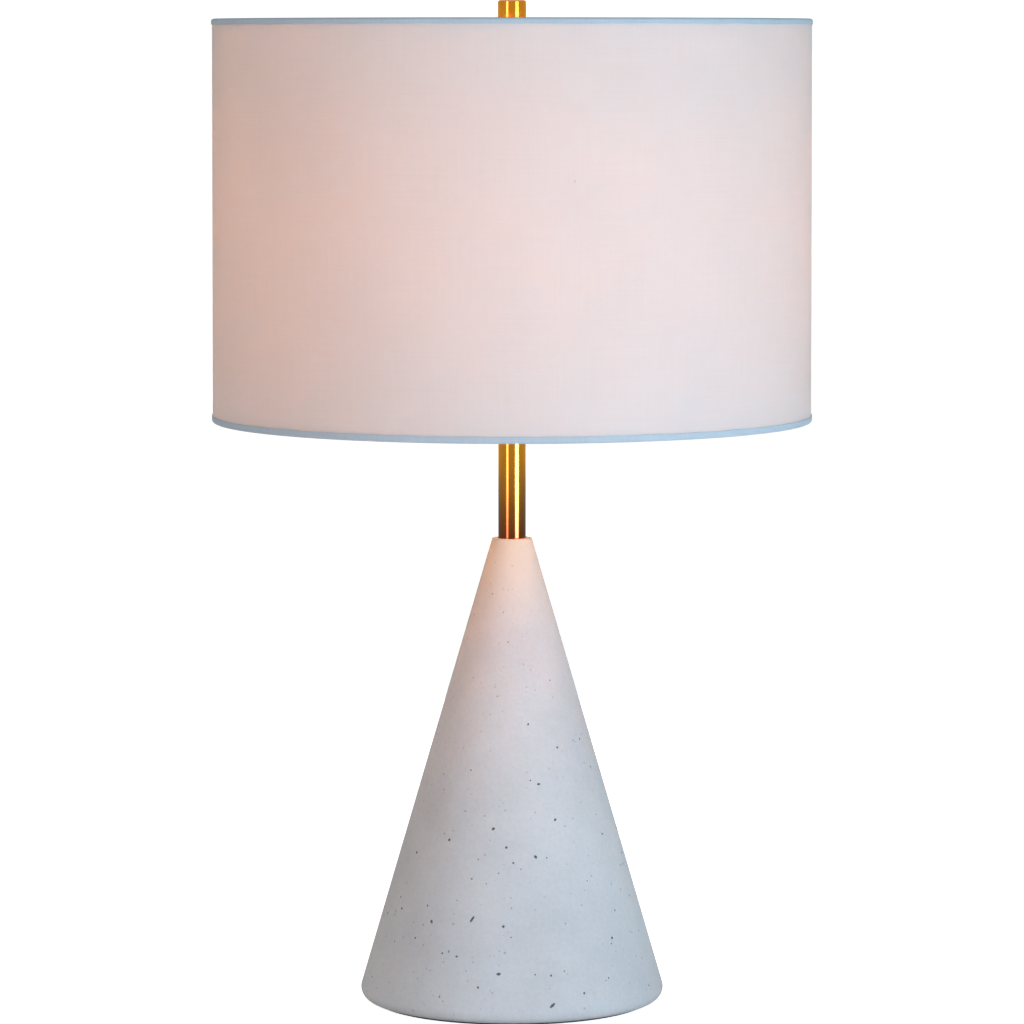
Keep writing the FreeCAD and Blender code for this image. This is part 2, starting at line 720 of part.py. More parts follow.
def plug_lock_washer(doc, d, g):
    body = ring(doc, "plug_lock_washer", g.rod_hole, d.lock_washer_radius, g.lock_bottom, g.washer_bottom)
    sketch = new_sketch(body, "XZ_Plane")
    half = d.lock_washer_split / 2
    low = g.nut_bottom
    high = g.plug_bottom
    add_path(sketch, [(-half, low), (half, low), (half, high), (-half, high)])
    pocket(body, sketch, d.washer_radius, back=True)
    return body


def hex_nut(doc, name, d, g, bottom, height):
    body = new_body(doc, name)
    sketch = new_sketch(body, "XY_Plane", bottom)
    add_hexagon(sketch, d.nut_flats)
    add_circle(sketch, (0, 0), g.thread_hole)
    pad(body, sketch, height)
    return body


def threaded_rod(doc, d, g):
    return ring(doc, "threaded_rod", d.rod_bore_radius, d.rod_radius, g.rod_bottom, g.rod_top)


# Neck and saddle


def neck_tube(doc, d, g):
    return ring(doc, "neck_tube", g.neck_bore, d.neck_radius, g.neck_bottom, g.neck_top)


def neck_bush(doc, d, g):
    outer = g.neck_bore - d.bush_gap
    return ring(doc, "neck_bush", g.rod_hole, outer, g.neck_bottom, g.neck_bottom + d.bush_height)


def neck_cap(doc, d, g):
    spigot = g.neck_bore - d.bush_gap
    rim = d.neck_radius + d.neck_cap_overhang
    body = turned(
        doc,
        "neck_cap",
        [
            (g.rod_hole, g.neck_top - d.neck_cap_spigot),
            (spigot, g.neck_top - d.neck_cap_spigot),
            (spigot, g.neck_top),
            (rim, g.neck_top),
            (rim, g.saddle_bottom),
            (g.rod_hole, g.saddle_bottom),
        ],
    )
    dress(
        body,
        "Fillet",
        d.neck_cap_thickness / 3,
        lambda edge: edge.BoundBox.ZLength < NEAR and edge.BoundBox.XMax > rim.value - NEAR,
    )
    return body


def harp_saddle(doc, d, g):
    """A strip bent up at both sides of the nut, with a narrow tongue on each arm."""
    body = new_body(doc, "harp_saddle")
    thick = d.saddle_thickness
    bend = thick * HALF_BEND
    rise = d.saddle_reach - d.saddle_foot
    low = g.saddle_bottom
    tip = g.shoulder + d.tongue_height
    right = [
        (d.saddle_foot, low),
        (d.saddle_reach, low + rise),
        (d.saddle_reach, tip),
        (d.saddle_reach - thick, tip),
        (d.saddle_reach - thick, low + rise + bend),
        (d.saddle_foot - bend, g.saddle_top),
    ]
    strip = new_sketch(body, "XZ_Plane")
    add_path(strip, right + [(-x, z) for x, z in reversed(right)])
    pad(body, strip, g.saddle_width, symmetric=True)
    drill(body, "XY_Plane", (0, 0), g.rod_hole, 2 * g.shoulder, symmetric=True)
    wide = g.saddle_width
    half = d.tongue_width / 2
    above = tip + thick
    for box in both_sides([(half, g.shoulder), (wide, g.shoulder), (wide, above), (half, above)]):
        corner = new_sketch(body, "YZ_Plane")
        add_path(corner, box)
        pocket(body, corner, 3 * d.saddle_reach, symmetric=True)

    def at_bend(edge):
        box = edge.BoundBox
        level = box.ZMax < g.shoulder.value - NEAR and box.ZMin > low.value - NEAR
        return box.YLength > wide.value - NEAR and box.XLength + box.ZLength < NEAR and level

    dress(body, "Fillet", d.saddle_bend, at_bend)
    return body


# Lampholder


def socket_cap(doc, d, g):
    """A drawn brass cup on a threaded hub. Its dome is an arc from the hub, tangent to the skirt."""
    spread = g.cap_radius - g.hub_radius
    dome = (spread * spread + d.cap_dome_height * d.cap_dome_height) / (2 * spread)
    inner = dome - d.cap_wall
    off = dome - spread
    inner_foot = g.dome_top - root(inner * inner - off * off)
    body = turned(
        doc,
        "socket_cap",
        [
            (g.thread_hole, g.holder_bottom),
            (g.hub_radius, g.holder_bottom),
            (g.hub_radius, g.hub_top, dome, LEFT),
            (g.cap_radius, g.dome_top),
            (g.cap_radius, g.skirt_top),
            (g.cap_inner, g.skirt_top),
            (g.cap_inner, g.dome_top, inner, RIGHT),
            (g.hub_radius, inner_foot),
            (g.thread_hole, inner_foot),
        ],
    )
    drill(body, "XZ_Plane", (0, set_screw_height(d, g)), d.set_screw_radius + d.shell_gap, g.cap_radius)
    return body


def set_screw_height(d, g):
    return g.holder_bottom + d.rod_grip / 2


def cut_slot(body, height, radius, depth):
    """A screwdriver slot across the end of a screw that was built along Z."""
    sketch = new_sketch(body, "XY_Plane", height)
    half = radius / 4
    wide = radius * 2
    add_path(sketch, [(-wide, -half), (wide, -half), (wide, half), (-wide, half)])
    pocket(body, sketch, depth)


def cap_set_screw(doc, d, g):
    """A slotted screw in the hub, at the back, close to the rod. Built along Z from its point."""
    body = new_body(doc, "cap_set_screw")
    sketch = new_sketch(body, "XY_Plane")
    add_circle(sketch, (0, 0), d.set_screw_radius)
    pad(body, sketch, d.set_screw_length)
    cut_slot(body, d.set_screw_length, d.set_screw_radius, d.set_screw_radius / 2)
    place(body, y=d.rod_radius + d.shaft_gap, z=set_screw_height(d, g), turn=TO_BACK)
    return body


def cap_liner(doc, d, g):
    """The fibre ring that keeps the leads off the brass cap. The moulded body's flange rests on its rim."""
    outer = g.cap_inner - d.shell_gap
    inner = g.lead_outer + d.lead_radius + d.lead_play
    low = g.dome_top + d.fibre_wall
    return turned(
        doc,
        "cap_liner",
        [
            (inner, low),
            (outer, low),
            (outer, g.flange_bottom),
            (outer - d.fibre_wall, g.flange_bottom),
            (outer - d.fibre_wall, low + d.fibre_wall),
            (inner, low + d.fibre_wall),
        ],
    )


def socket_body(doc, d, g):
    """The moulded body that holds the terminals, the switch shaft and the contacts."""
    body = turned(
        doc,
        "socket_body",
        [
            (0, g.flange_bottom),
            (g.shell_outer, g.flange_bottom),
            (g.shell_outer, g.flange_top),
            (g.holder_radius, g.flange_top),
            (g.holder_radius, g.holder_top),
            (0, g.holder_top),
        ],
    )
    half = d.terminal_head_radius + d.flat_margin
    low = g.flange_bottom - d.flat_margin
    high = g.terminal + half
    wide = g.cap_radius
    for box in both_sides([(g.holder_flat, low), (wide, low), (wide, high), (g.holder_flat, high)]):
        sketch = new_sketch(body, "XZ_Plane")
        add_path(sketch, box)
        pocket(body, sketch, 2 * half, symmetric=True)
    drill(body, "XZ_Plane", (0, g.switch), d.shaft_radius + d.shaft_gap, g.cap_radius, back=True)
    hole = d.terminal_shank_radius + d.shaft_gap
    drill(body, "YZ_Plane", (0, g.terminal), hole, 2 * g.cap_radius, symmetric=True)
    return body


def terminal_screw(doc, name, d, g, turn, side):
    """One terminal screw, built along Z with its head outwards."""
    body = new_body(doc, name)
    head = d.shaft_gap + d.terminal_head
    revolve(
        body,
        [
            (0, -d.terminal_shank),
            (d.terminal_shank_radius, -d.terminal_shank),
            (d.terminal_shank_radius, d.shaft_gap),
            (d.terminal_head_radius, d.shaft_gap),
            (d.terminal_head_radius, head),
            (0, head),
        ],
    )
    cut_slot(body, head, d.terminal_head_radius, d.terminal_head / 2)
    place(body, x=side * g.holder_flat, z=g.terminal, turn=turn)
    return body


def screw_socket(doc, d, g):
    """The female screw shell that the bulb turns into."""
    floor = g.holder_top
    wall = d.socket_wall
    inner = g.socket_mean
    outer = inner + wall
    return turned(
        doc,
        "screw_socket",
        [(d.socket_floor_hole, floor), (outer, floor)]
        + thread_points(d, outer, g.thread_bottom, upward=True)
        + [(outer, g.socket_top), (inner, g.socket_top)]
        + thread_points(d, inner, g.thread_bottom, upward=False)
        + [(inner, floor + wall), (d.socket_floor_hole, floor + wall)],
    )


def centre_contact(doc, d, g):
    """A sprung strip that rises under the bulb's tip. Built across X, then turned to the front."""
    body = new_body(doc, "centre_contact")
    low = g.holder_top
    thick = d.socket_wall
    high = low + d.contact_rise
    reach = d.contact_width / 2
    strip = new_sketch(body, "XZ_Plane")
    add_path(
        strip,
        [
            (-2 * reach, low),
            (-reach, low),
            (-reach / 2, high - thick),
            (reach, high - thick),
            (reach, high),
            (-reach / 2 - thick, high),
            (-reach - thick, low + thick),
            (-2 * reach, low + thick),
        ],
    )
    pad(body, strip, d.contact_width, symmetric=True)
    place(body, turn=QUARTER_ROUND)
    return body


def shell_liner(doc, d, g):
    top = g.shell_top - d.liner_wall
    body = ring(doc, "shell_liner", g.liner_inner, g.liner_outer, g.shell_bottom, top)
    drill(body, "XZ_Plane", (0, g.switch), d.shaft_radius + d.shaft_hole, g.cap_radius, back=True)
    return body


def socket_shell(doc, d, g):
    """The brass shell, with a bead round its middle and a thick mouth."""
    inner, outer = g.shell_inner, g.shell_outer
    low, high = g.shell_bottom, g.shell_top
    bead = low + (high - low) * (2 / 3)
    lip = outer + d.shell_lip
    body = turned(
        doc,
        "socket_shell",
        [
            (inner, low),
            (outer, low),
            (outer, bead - d.shell_bead, d.shell_bead * BEAD_ROUND, LEFT),
            (outer, bead + d.shell_bead),
            (outer, high - 2 * d.shell_lip),
            (lip, high - d.shell_lip),
            (lip, high),
            (inner, high),
        ],
    )
    drill(body, "XZ_Plane", (0, g.switch), d.shaft_radius + d.shaft_hole, g.cap_radius, back=True)
    return body


def switch_shaft(doc, d, g):
    body = new_body(doc, "switch_shaft")
    sketch = new_sketch(body, "XY_Plane", d.shaft_root)
    add_circle(sketch, (0, 0), d.shaft_radius)
    pad(body, sketch, g.knob_start + d.knob_bore - d.shaft_root - d.shaft_gap)
    place(body, z=g.switch, turn=TO_FRONT)
    return body


def switch_knob(doc, d, g):
    """A round collar that narrows to a flat paddle. Built along Z from the lamp's axis."""
    body = new_body(doc, "switch_knob")
    low = g.knob_start
    high = low + d.knob_length
    bore = d.shaft_radius + d.knob_fit
    edge = d.knob_radius / 4
    revolve(
        body,
        [
            (bore, low),
            (d.knob_radius, low),
            (d.knob_radius, high - edge, edge, LEFT),
            (d.knob_radius - edge, high),
            (0, high),
            (0, low + d.knob_bore),
            (bore, low + d.knob_bore),
        ],
    )
    grip = d.knob_grip / 2
    hollow = d.knob_radius - grip
    collar = low + d.knob_collar
    wide = 2 * d.knob_radius
    above = high + edge
    paddle_side = [
        (grip, above),
        (grip, collar + hollow, hollow, LEFT),
        (d.knob_radius, collar),
        (wide, collar),
        (wide, above),
    ]
    for cut in both_sides(paddle_side):
        sketch = new_sketch(body, "XZ_Plane")
        add_path(sketch, cut)
        pocket(body, sketch, 2 * wide, symmetric=True)
    place(body, z=g.switch, turn=TO_FRONT)
    return body


# Bulb


def bulb_cap(doc, d, g):
    outer = d.base_mean_radius
    inner = outer - d.base_wall
    lip = outer + g.crest
    points = thread_points(d, outer, g.thread_bottom, upward=True)
    return turned(
        doc,
        "bulb_cap",
        [(inner, g.thread_bottom)]
        + points
        + [(lip, g.thread_top + g.crest), (lip, g.base_top), (inner, g.base_top)]
        + thread_points(d, inner, g.thread_bottom, upward=False)[:-1],
    )


def bulb_insulator(doc, d, g):
    return turned(
        doc,
        "bulb_insulator",
        [
            (0, g.insulator_bottom),
            (d.tip_radius, g.insulator_bottom),
            (d.base_mean_radius, g.thread_bottom),
            (0, g.thread_bottom),
        ],
    )


def bulb_contact(doc, d, g):
    low = g.tip
    return turned(
        doc,
        "bulb_contact",
        [
            (0, low),
            (d.tip_radius / 2, low),
            (d.tip_radius, g.insulator_bottom - d.tip_height / 3),
            (d.tip_radius, g.insulator_bottom),
            (0, g.insulator_bottom),
        ],
    )


def bulb_glass(doc, d, g):
    """A globe on a flared neck, one thin wall all round."""
    neck, globe, flare, wall = g.neck_glass, d.bulb_radius, d.bulb_shoulder, d.bulb_wall
    centre = g.globe
    across = neck + flare
    span = globe + flare
    drop = root(span * span - across * across)
    share = globe / span
    inner_share = (globe - wall) / span
    return turned(
        doc,
        "bulb_glass",
        [
            (neck, g.stem_bottom),
            (neck, centre - drop, flare, RIGHT),
            (across * share, centre - drop * share, globe, LEFT),
            (globe, centre, globe, LEFT),
            (0, g.bulb_top),
            (0, g.bulb_top - wall, globe - wall, RIGHT),
            (globe - wall, centre, globe - wall, RIGHT),
            (across * inner_share, centre - drop * inner_share, flare + wall, LEFT),
            (neck - wall, centre - drop),
            (neck - wall, g.stem_bottom),
        ],
    )


def bulb_stem(doc, d, g):
    flare = g.neck_glass - d.bulb_wall - d.bulb_neck_gap
    low = g.stem_bottom
    thick = 2 * d.bulb_wall
    return turned(
        doc,
        "bulb_stem",
        [
            (0, low),
            (flare, low),
            (flare, low + thick),
            (d.stem_radius, low + flare),
            (d.stem_radius, g.stem_top),
            (0, g.stem_top),
        ],
    )


def filament_support(doc, name, d, g, side):
    """One support wire, out of the stem's top and bent out to the filament's end."""
    body = new_body(doc, name)
    start = side * d.stem_radius / 2
    wire_along(
        body,
        [
            (start, g.stem_top),
            (start, g.stem_top + d.support_height / 4),
            (side * d.support_spread, g.stem_top + d.support_height),
        ],
        d.support_radius,
    )
    return body


def filament(doc, d, g):
    """The coil, taken as a round bar that bows down between the tips of the supports."""
    body = new_body(doc, "filament")
    half = d.support_spread
    high = g.stem_top + d.support_height + d.support_radius + d.filament_radius
    radius = (half * half + d.filament_sag * d.filament_sag) / (2 * d.filament_sag)
    path = new_sketch(body, "XZ_Plane")
    add_path(path, [(-half, high, radius, LEFT), (half, high)], closed=False)
    section = new_sketch(body, "YZ_Plane")
    add_circle(section, (0, high - d.filament_sag), d.filament_radius)
    pipe = feature(body, "AdditivePipe", section)
    pipe.Spine = path
    return body


# Harp


def harp_wire(doc, d, g):
    """A wire from each saddle tongue, out round the bulb and in to a flat crown."""
    body = new_body(doc, "harp_wire")
    crown = new_sketch(body, "XY_Plane", g.crown_bottom)
    add_circle(crown, (0, 0), g.crown_radius)
    add_circle(crown, (0, 0), d.rivet_radius + d.swivel_gap)
    pad(body, crown, d.crown_thickness)
    shift = d.harp_bow - g.leg_x
    rise = root(shift * (4 * d.harp_swell - shift))
    leg_top = g.shoulder + d.harp_leg
    corner = d.harp_shoulder
    inner = g.crown_radius - d.harp_wire_radius
    side = wire_along(
        body,
        [
            (g.leg_x, g.shoulder + d.ferrule_gap),
            (g.leg_x, leg_top, d.harp_swell, RIGHT),
            (g.leg_x + shift / 2, leg_top + rise / 2, d.harp_swell, LEFT),
            (d.harp_bow, leg_top + rise),
            (d.harp_bow, g.crown_middle - corner, corner, LEFT),
            (d.harp_bow - corner, g.crown_middle),
            (inner, g.crown_middle),
        ],
        d.harp_wire_radius,
    )
    mirror_across(body, [side], "YZ_Plane")
    return body


def ferrule(doc, name, d, g, side):
    """A sleeve that slides down over a tongue and the wire's end."""
    inside = d.saddle_reach - d.saddle_thickness
    outside = g.leg_x + d.harp_wire_radius
    half_span = (outside - inside) / 2
    half_tongue = d.tongue_width / 2
    bore = root(half_span * half_span + half_tongue * half_tongue) + d.ferrule_gap
    bottom = g.shoulder + d.ferrule_gap
    body = ring(doc, name, bore, bore + d.ferrule_wall, bottom, bottom + d.ferrule_height)
    place(body, x=side * (inside + outside) / 2)
    return body


def harp_stud(doc, d, g):
    """The threaded stud, riveted through the crown so that it swivels."""
    shank_bottom = g.crown_bottom - d.swivel_gap
    head_bottom = shank_bottom - d.rivet_head
    flange_bottom = g.seat - d.stud_flange
    bevel = d.stud_radius / 6
    top = g.seat + d.stud_length
    return turned(
        doc,
        "harp_stud",
        [
            (0, head_bottom),
            (d.rivet_head_radius, head_bottom),
            (d.rivet_head_radius, shank_bottom),
            (d.rivet_radius, shank_bottom),
            (d.rivet_radius, flange_bottom),
            (d.stud_flange_radius, flange_bottom),
            (d.stud_flange_radius, g.seat),
            (d.stud_radius, g.seat),
            (d.stud_radius, top - bevel),
            (d.stud_radius - bevel, top),
            (0, top),
        ],
    )


# Shade


def shade_layer(doc, name, d, g, outer_step, thickness):
    """A sheet of the shade's wall, outer_step inside the cover's outer face."""
    points = []
    for height in (g.wall_bottom, g.wall_top):
        outer = cover_radius(d, g, height) - outer_step
        points.append((outer, height))
    inside = [(radius - thickness, height) for radius, height in reversed(points)]
    return turned(doc, name, points + inside)


def wire_ring(doc, name, d, g, height):
    """A ring of wire inside the shade's wall."""
    centre = cover_radius(d, g, height) - g.ring_step
    body = new_body(doc, name)
    sketch = new_sketch(body, "XZ_Plane")
    add_circle(sketch, (centre, height), d.ring_radius)
    made = feature(body, "Revolution", sketch)
    made.ReferenceAxis = (sketch, ["V_Axis"])
    made.Angle = TURN
    return body


def hem(doc, name, d, g, edge, ring_height, up):
    """A strip folded over the wall's edge and its ring. Up is 1 at the shade's top and -1 at its bottom."""
    thick, gap, turn = d.hem_thickness, d.ring_gap, d.hem_round
    wall = cover_radius(d, g, ring_height)
    outer = wall + gap + thick
    inner = wall - g.ring_step - d.ring_radius - gap - thick
    small = turn - thick
    side = LEFT if up == 1 else RIGHT
    back = RIGHT if up == 1 else LEFT
    return turned(
        doc,
        name,
        [
            (outer, edge - up * d.hem_depth),
            (outer, edge - up * turn, turn, side),
            (outer - turn, edge),
            (inner + turn, edge, turn, side),
            (inner, edge - up * turn),
            (inner, edge - up * d.hem_turn),
            (inner + thick, edge - up * d.hem_turn),
            (inner + thick, edge - up * turn, small, back),
            (inner + turn, edge - up * thick),
            (outer - turn, edge - up * thick, small, back),
            (outer - thick, edge - up * turn),
            (outer - thick, edge - up * d.hem_depth),
        ],
    )


def cut_arm_slits(body, d, g):
    """Slits in the top hem's inner leg, one for each arm of the spider."""
    half = d.ring_radius + d.hem_thickness
    top = g.arm_outer + d.ring_radius + d.arm_gap
    low = g.shade_top - 2 * d.hem_turn
    sketch = new_sketch(body, "XZ_Plane")
    add_path(sketch, [(-half, low), (half, low), (half, top), (-half, top)])
    slit = pocket(body, sketch, cover_radius(d, g, g.ring_top) - g.ring_step - d.ring_radius)
    pattern_about_z(body, [slit], ARM_COUNT)


def spider_hub(doc, d, g):
    return ring(doc, "spider_hub", g.hub_hole, d.hub_radius, g.seat, g.hub_upper)


def spider_arms(doc, d, g):
    """Wires from the hub's upper face out to the top ring, one of them towards the back."""
    body = new_body(doc, "spider_arms")
    start = d.hub_radius - d.arm_overlap
    end = cover_radius(d, g, g.ring_top) - g.ring_step - d.ring_radius - d.arm_gap
    low = g.hub_upper + d.ring_radius + 2 * d.arm_gap
    path = new_sketch(body, "XZ_Plane")
    add_path(path, [(start, low), (end, g.arm_outer)], closed=False)
    section = new_sketch(body, "YZ_Plane", start)
    add_circle(section, (0, low), d.ring_radius)
    pipe = feature(body, "AdditivePipe", section)
    pipe.Spine = path
    pattern_about_z(body, [pipe], ARM_COUNT)
    place(body, turn=QUARTER_ROUND)
    return body


def finial(doc, d, g):
    low = g.hub_upper
    high = low + d.finial_height
    bore = d.stud_radius + d.finial_bore_gap
    depth = g.seat + d.stud_length + d.finial_bore_end
    bevel = d.finial_bevel
    outer = d.finial_radius
    return turned(
        doc,
        "finial",
        [
            (bore, low),
            (outer - bevel / 2, low),
            (outer, low + bevel / 2),
            (outer, high - bevel),
            (outer - bevel, high),
            (0, high),
            (0, depth),
            (bore, depth),
        ],
    )


# Inner leads


def lead(doc, name, d, g, side):
    """An insulated lead from below a terminal, down the rod, to a splice cap on the cover."""
    body = new_body(doc, name)
    inner = side * d.lead_spacing
    outer = side * g.lead_outer
    shift = g.lead_outer - d.lead_spacing
    top = g.terminal - d.terminal_head_radius - d.lead_play
    start = top - shift - d.lead_radius
    out, back = (RIGHT, LEFT) if side == 1 else (LEFT, RIGHT)
    wire_along(
        body,
        [
            (outer, top),
            (outer, start + shift, shift / 2, out),
            (side * (d.lead_spacing + shift / 2), start + shift / 2, shift / 2, back),
            (inner, start),
            (inner, g.splice + d.lead_bend, d.lead_bend, back),
            (side * (d.lead_spacing + d.lead_bend), g.splice),
            (side * (d.lead_spacing + d.lead_bend + d.lead_tail), g.splice),
        ],
        d.lead_radius,
    )
    return body


def splice_cap(doc, name, d, g, side):
    """A closed-end cap on a lead's bare end, lying on the cover. Built along Z from its mouth."""
    body = new_body(doc, name)
    bore = d.lead_radius + d.lead_play
    depth = d.lead_tail / 2 + d.lead_play
    revolve(
        body,
        [
            (bore, 0),
            (d.splice_radius - d.splice_wall, 0),
            (d.splice_radius, d.splice_wall),
            (d.splice_radius, d.splice_length - d.splice_radius, d.splice_radius, LEFT),
            (0, d.splice_length),
            (0, depth),
            (bore, depth),
        ],
    )
    mouth = side * (d.lead_spacing + d.lead_bend + d.lead_tail / 2)
    place(body, x=mouth, z=g.splice, turn=TO_RIGHT if side == 1 else TO_LEFT)
    return body


# The whole lamp


def build_base(doc, d, g):
    """The cone and what is fixed to it, below the neck."""
    return [
        cone_body(doc, d, g),
        bottom_cover(doc, d, g),
        felt_pad(doc, d, g),
        cord_bushing(doc, d, g),
        plug_washer(doc, d, g),
        plug_lock_washer(doc, d, g),
        hex_nut(doc, "plug_nut", d, g, g.nut_bottom, d.nut_height),
        threaded_rod(doc, d, g),
    ]


def build_neck(doc, d, g):
    return [
        neck_tube(doc, d, g),
        neck_bush(doc, d, g),
        neck_cap(doc, d, g),
        harp_saddle(doc, d, g),
        hex_nut(doc, "saddle_nut", d, g, g.saddle_top, d.saddle_nut_height),
    ]


def build_lampholder(doc, d, g):
    screws = [
        terminal_screw(doc, "terminal_screw_right", d, g, TO_RIGHT, 1),
        terminal_screw(doc, "terminal_screw_left", d, g, TO_LEFT, -1),
    ]
    caps = [splice_cap(doc, "splice_cap_right", d, g, 1), splice_cap(doc, "splice_cap_left", d, g, -1)]
    return [
        socket_cap(doc, d, g),
        cap_set_screw(doc, d, g),
        cap_liner(doc, d, g),
        socket_body(doc, d, g),
        group(doc, "terminal_screws", screws),
        screw_socket(doc, d, g),
        centre_contact(doc, d, g),
        shell_liner(doc, d, g),
        socket_shell(doc, d, g),
        switch_shaft(doc, d, g),
        switch_knob(doc, d, g),
        lead(doc, "lead_right", d, g, 1),
        lead(doc, "lead_left", d, g, -1),
        group(doc, "splice_caps", caps),
    ]


def build_bulb(doc, d, g):
    supports = [
        filament_support(doc, "filament_support_right", d, g, 1),
        filament_support(doc, "filament_support_left", d, g, -1),
    ]
    return [
        bulb_contact(doc, d, g),
        bulb_insulator(doc, d, g),
        bulb_cap(doc, d, g),
        bulb_glass(doc, d, g),
        bulb_stem(doc, d, g),
        group(doc, "filament_supports", supports),
        filament(doc, d, g),
    ]


def build_harp(doc, d, g):
    return [
        harp_wire(doc, d, g),
        ferrule(doc, "ferrule_right", d, g, 1),
        ferrule(doc, "ferrule_left", d, g, -1),
        harp_stud(doc, d, g),
    ]


def build_shade(doc, d, g):
    top_hem = hem(doc, "top_hem", d, g, g.shade_top, g.ring_top, 1)
    cut_arm_slits(top_hem, d, g)
    return [
        spider_hub(doc, d, g),
        spider_arms(doc, d, g),
        wire_ring(doc, "top_ring", d, g, g.ring_top),
        wire_ring(doc, "bottom_ring", d, g, g.ring_bottom),
        shade_layer(doc, "shade_backing", d, g, g.backing_step, d.backing_thickness),
        shade_layer(doc, "shade_cover", d, g, size(0), d.fabric_thickness),
        top_hem,
        hem(doc, "bottom_hem", d, g, g.shade_bottom, g.ring_bottom, -1),
        finial(doc, d, g),
    ]


def build(doc):
    """Makes every sub-part and returns them in the order of assembly."""
    d = fill_sheet(doc)
    g = shared_places(d)
    subparts = []
    for make in (build_base, build_neck, build_lampholder, build_bulb, build_harp, build_shade):
        subparts += make(doc, d, g)
    doc.recompute()
    return subparts


def check(doc, subparts):
    """Stops the build if any object failed or a sub-part isn't made of valid solids."""
    for thing in doc.Objects:
        if "Invalid" in thing.State or "Error" in thing.State:
            raise RuntimeError(f"{thing.Name} failed: {thing.State}")
    for subpart in subparts:
        shape = subpart.Shape
        if shape.isNull() or not shape.isValid() or not shape.Solids or shape.Volume <= 0:
            raise RuntimeError(f"{subpart.Label} has no valid solid")


def export(subparts):
    os.makedirs("parts", exist_ok=True)
    for subpart in subparts:
        subpart.Shape.exportStep(os.path.join("parts", f"{subpart.Label}.step"))


def main():
    doc = FreeCAD.newDocument("table_lamp")
    subparts = build(doc)
    check(doc, subparts)
    export(subparts)
    print(f"{len(subparts)} sub-parts written")


main()
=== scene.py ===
"""A table lamp with a fabric drum shade: its cloth, cast cone and every finish, on the CAD frame.

Lengths are in metres. The lamp stands on z = 0 with its axis along Z, and its front faces -Y.
"""

import math
import random

import bmesh
import bpy
import numpy as np
from mathutils import Matrix, Vector


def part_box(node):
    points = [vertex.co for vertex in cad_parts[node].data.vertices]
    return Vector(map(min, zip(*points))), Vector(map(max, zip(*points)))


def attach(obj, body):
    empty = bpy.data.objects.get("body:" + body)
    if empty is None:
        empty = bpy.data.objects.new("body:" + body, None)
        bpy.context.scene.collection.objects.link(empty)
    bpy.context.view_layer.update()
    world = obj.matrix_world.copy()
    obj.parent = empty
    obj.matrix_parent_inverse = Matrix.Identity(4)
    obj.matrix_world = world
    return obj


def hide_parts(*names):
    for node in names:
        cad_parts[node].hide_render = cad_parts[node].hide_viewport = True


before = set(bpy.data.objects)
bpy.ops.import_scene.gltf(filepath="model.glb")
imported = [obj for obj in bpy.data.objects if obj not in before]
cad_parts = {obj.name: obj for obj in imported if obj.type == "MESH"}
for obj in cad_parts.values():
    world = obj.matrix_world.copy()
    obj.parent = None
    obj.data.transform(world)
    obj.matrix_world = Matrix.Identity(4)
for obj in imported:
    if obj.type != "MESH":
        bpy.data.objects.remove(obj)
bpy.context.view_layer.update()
MM = 0.001
TURN = 2 * math.pi
FRONT = -math.pi / 2

# The cone's own sizes; the rest of its section comes from the pieces that sit in it.
CONE_BASE_RADIUS = 106.3 * MM  # where its side would meet the bottom without the rounding
CONE_TOP_RADIUS = 13.5 * MM
CONE_BASE_ROUND = 8 * MM
CONE_TOP_ROUND = 1.2 * MM
CAVITY_BASE_RADIUS = 85.4 * MM
CAVITY_TOP_RADIUS = 14 * MM
CAVITY_TOP_ROUND = 2 * MM
RECESS_ROUND = 0.8 * MM  # of the edge round the bottom cover
SEAT_ROUND = 0.4 * MM  # of the edge round the neck
HOLE_ROUND = 0.3 * MM  # of the edge where the rod's hole meets the cavity
CAVITY_FOOT_ROUND = 0.5 * MM
FIT = 0.2 * MM  # between a piece and the hole that takes it
ROD_PLAY = 0.3 * MM  # between the rod and its hole
CONE_STEP = 9 * MM  # between points on the cone's section
CONE_SIDES = 288

# The cord outlet, at the back of the cone
OUTLET_HEIGHT = 22 * MM
OUTLET_FIT = 0.15 * MM
BUSHING_RADIUS = 5.5 * MM  # of the bushing's barrel
BUSHING_FLANGE = 3 * MM  # how thick its flange is
OUTLET_SIDES = 64
OUTLET_MARGIN = 12 * MM  # no pit is closer to the outlet's middle
CUT_PAST = 10 * MM  # how far the cutter goes past what it cuts

# The felt pad
FELT_SIDES = 360
FELT_FUZZ = 0.12 * MM
FELT_INSET = 0.3 * MM  # of its edges' chamfers
FELT_BORDER = 1.2 * MM
FELT_SEED = 5

# The shade's cloth
CLOTH = 0.5 * MM
SHADE_TAPER = 0.8 * MM  # the top edge's radius is this much less
SEAM = math.radians(112)  # where the cloth's ends lap, behind the lamp
SEAM_LAP = 10 * MM
SEAM_RAMP = 5 * MM  # over which the cloth climbs onto its own end
LAP_GAP = 0.02 * MM  # between the cloth's two layers
CLOTH_ROWS = 31
CLOTH_STATIONS = 420
CLOTH_MARGIN = 0.8 * MM  # from the cloth's edges to the folds in the tapes
HEM_OUTER_LEGS = {1: 3.6 * MM, -1: 4.3 * MM}  # of the top tape and the bottom one
HEM_INNER_LEG = 6 * MM
HEM_REACH = 5.53 * MM  # from the tape's outer face to its inner one
HEM_STAND = 0.6 * MM  # how far the tape's outer face is from the cloth's
HEM_OUTER_FOLD = 1.5 * MM
HEM_INNER_FOLD = 1.9 * MM
HEM_POINTS = 34  # along each face of the tape's section
HEM_STATIONS = 480
HEM_LIFT = 0.9 * CLOTH  # of the tape, where it goes over the cloth's lap
HEM_LIFTED = 3  # how many points of its middle line lift, from the outer edge
HEM_CUT_SHARE = 0.55  # how much of the section is left at a slit
HEM_WAVES = 7
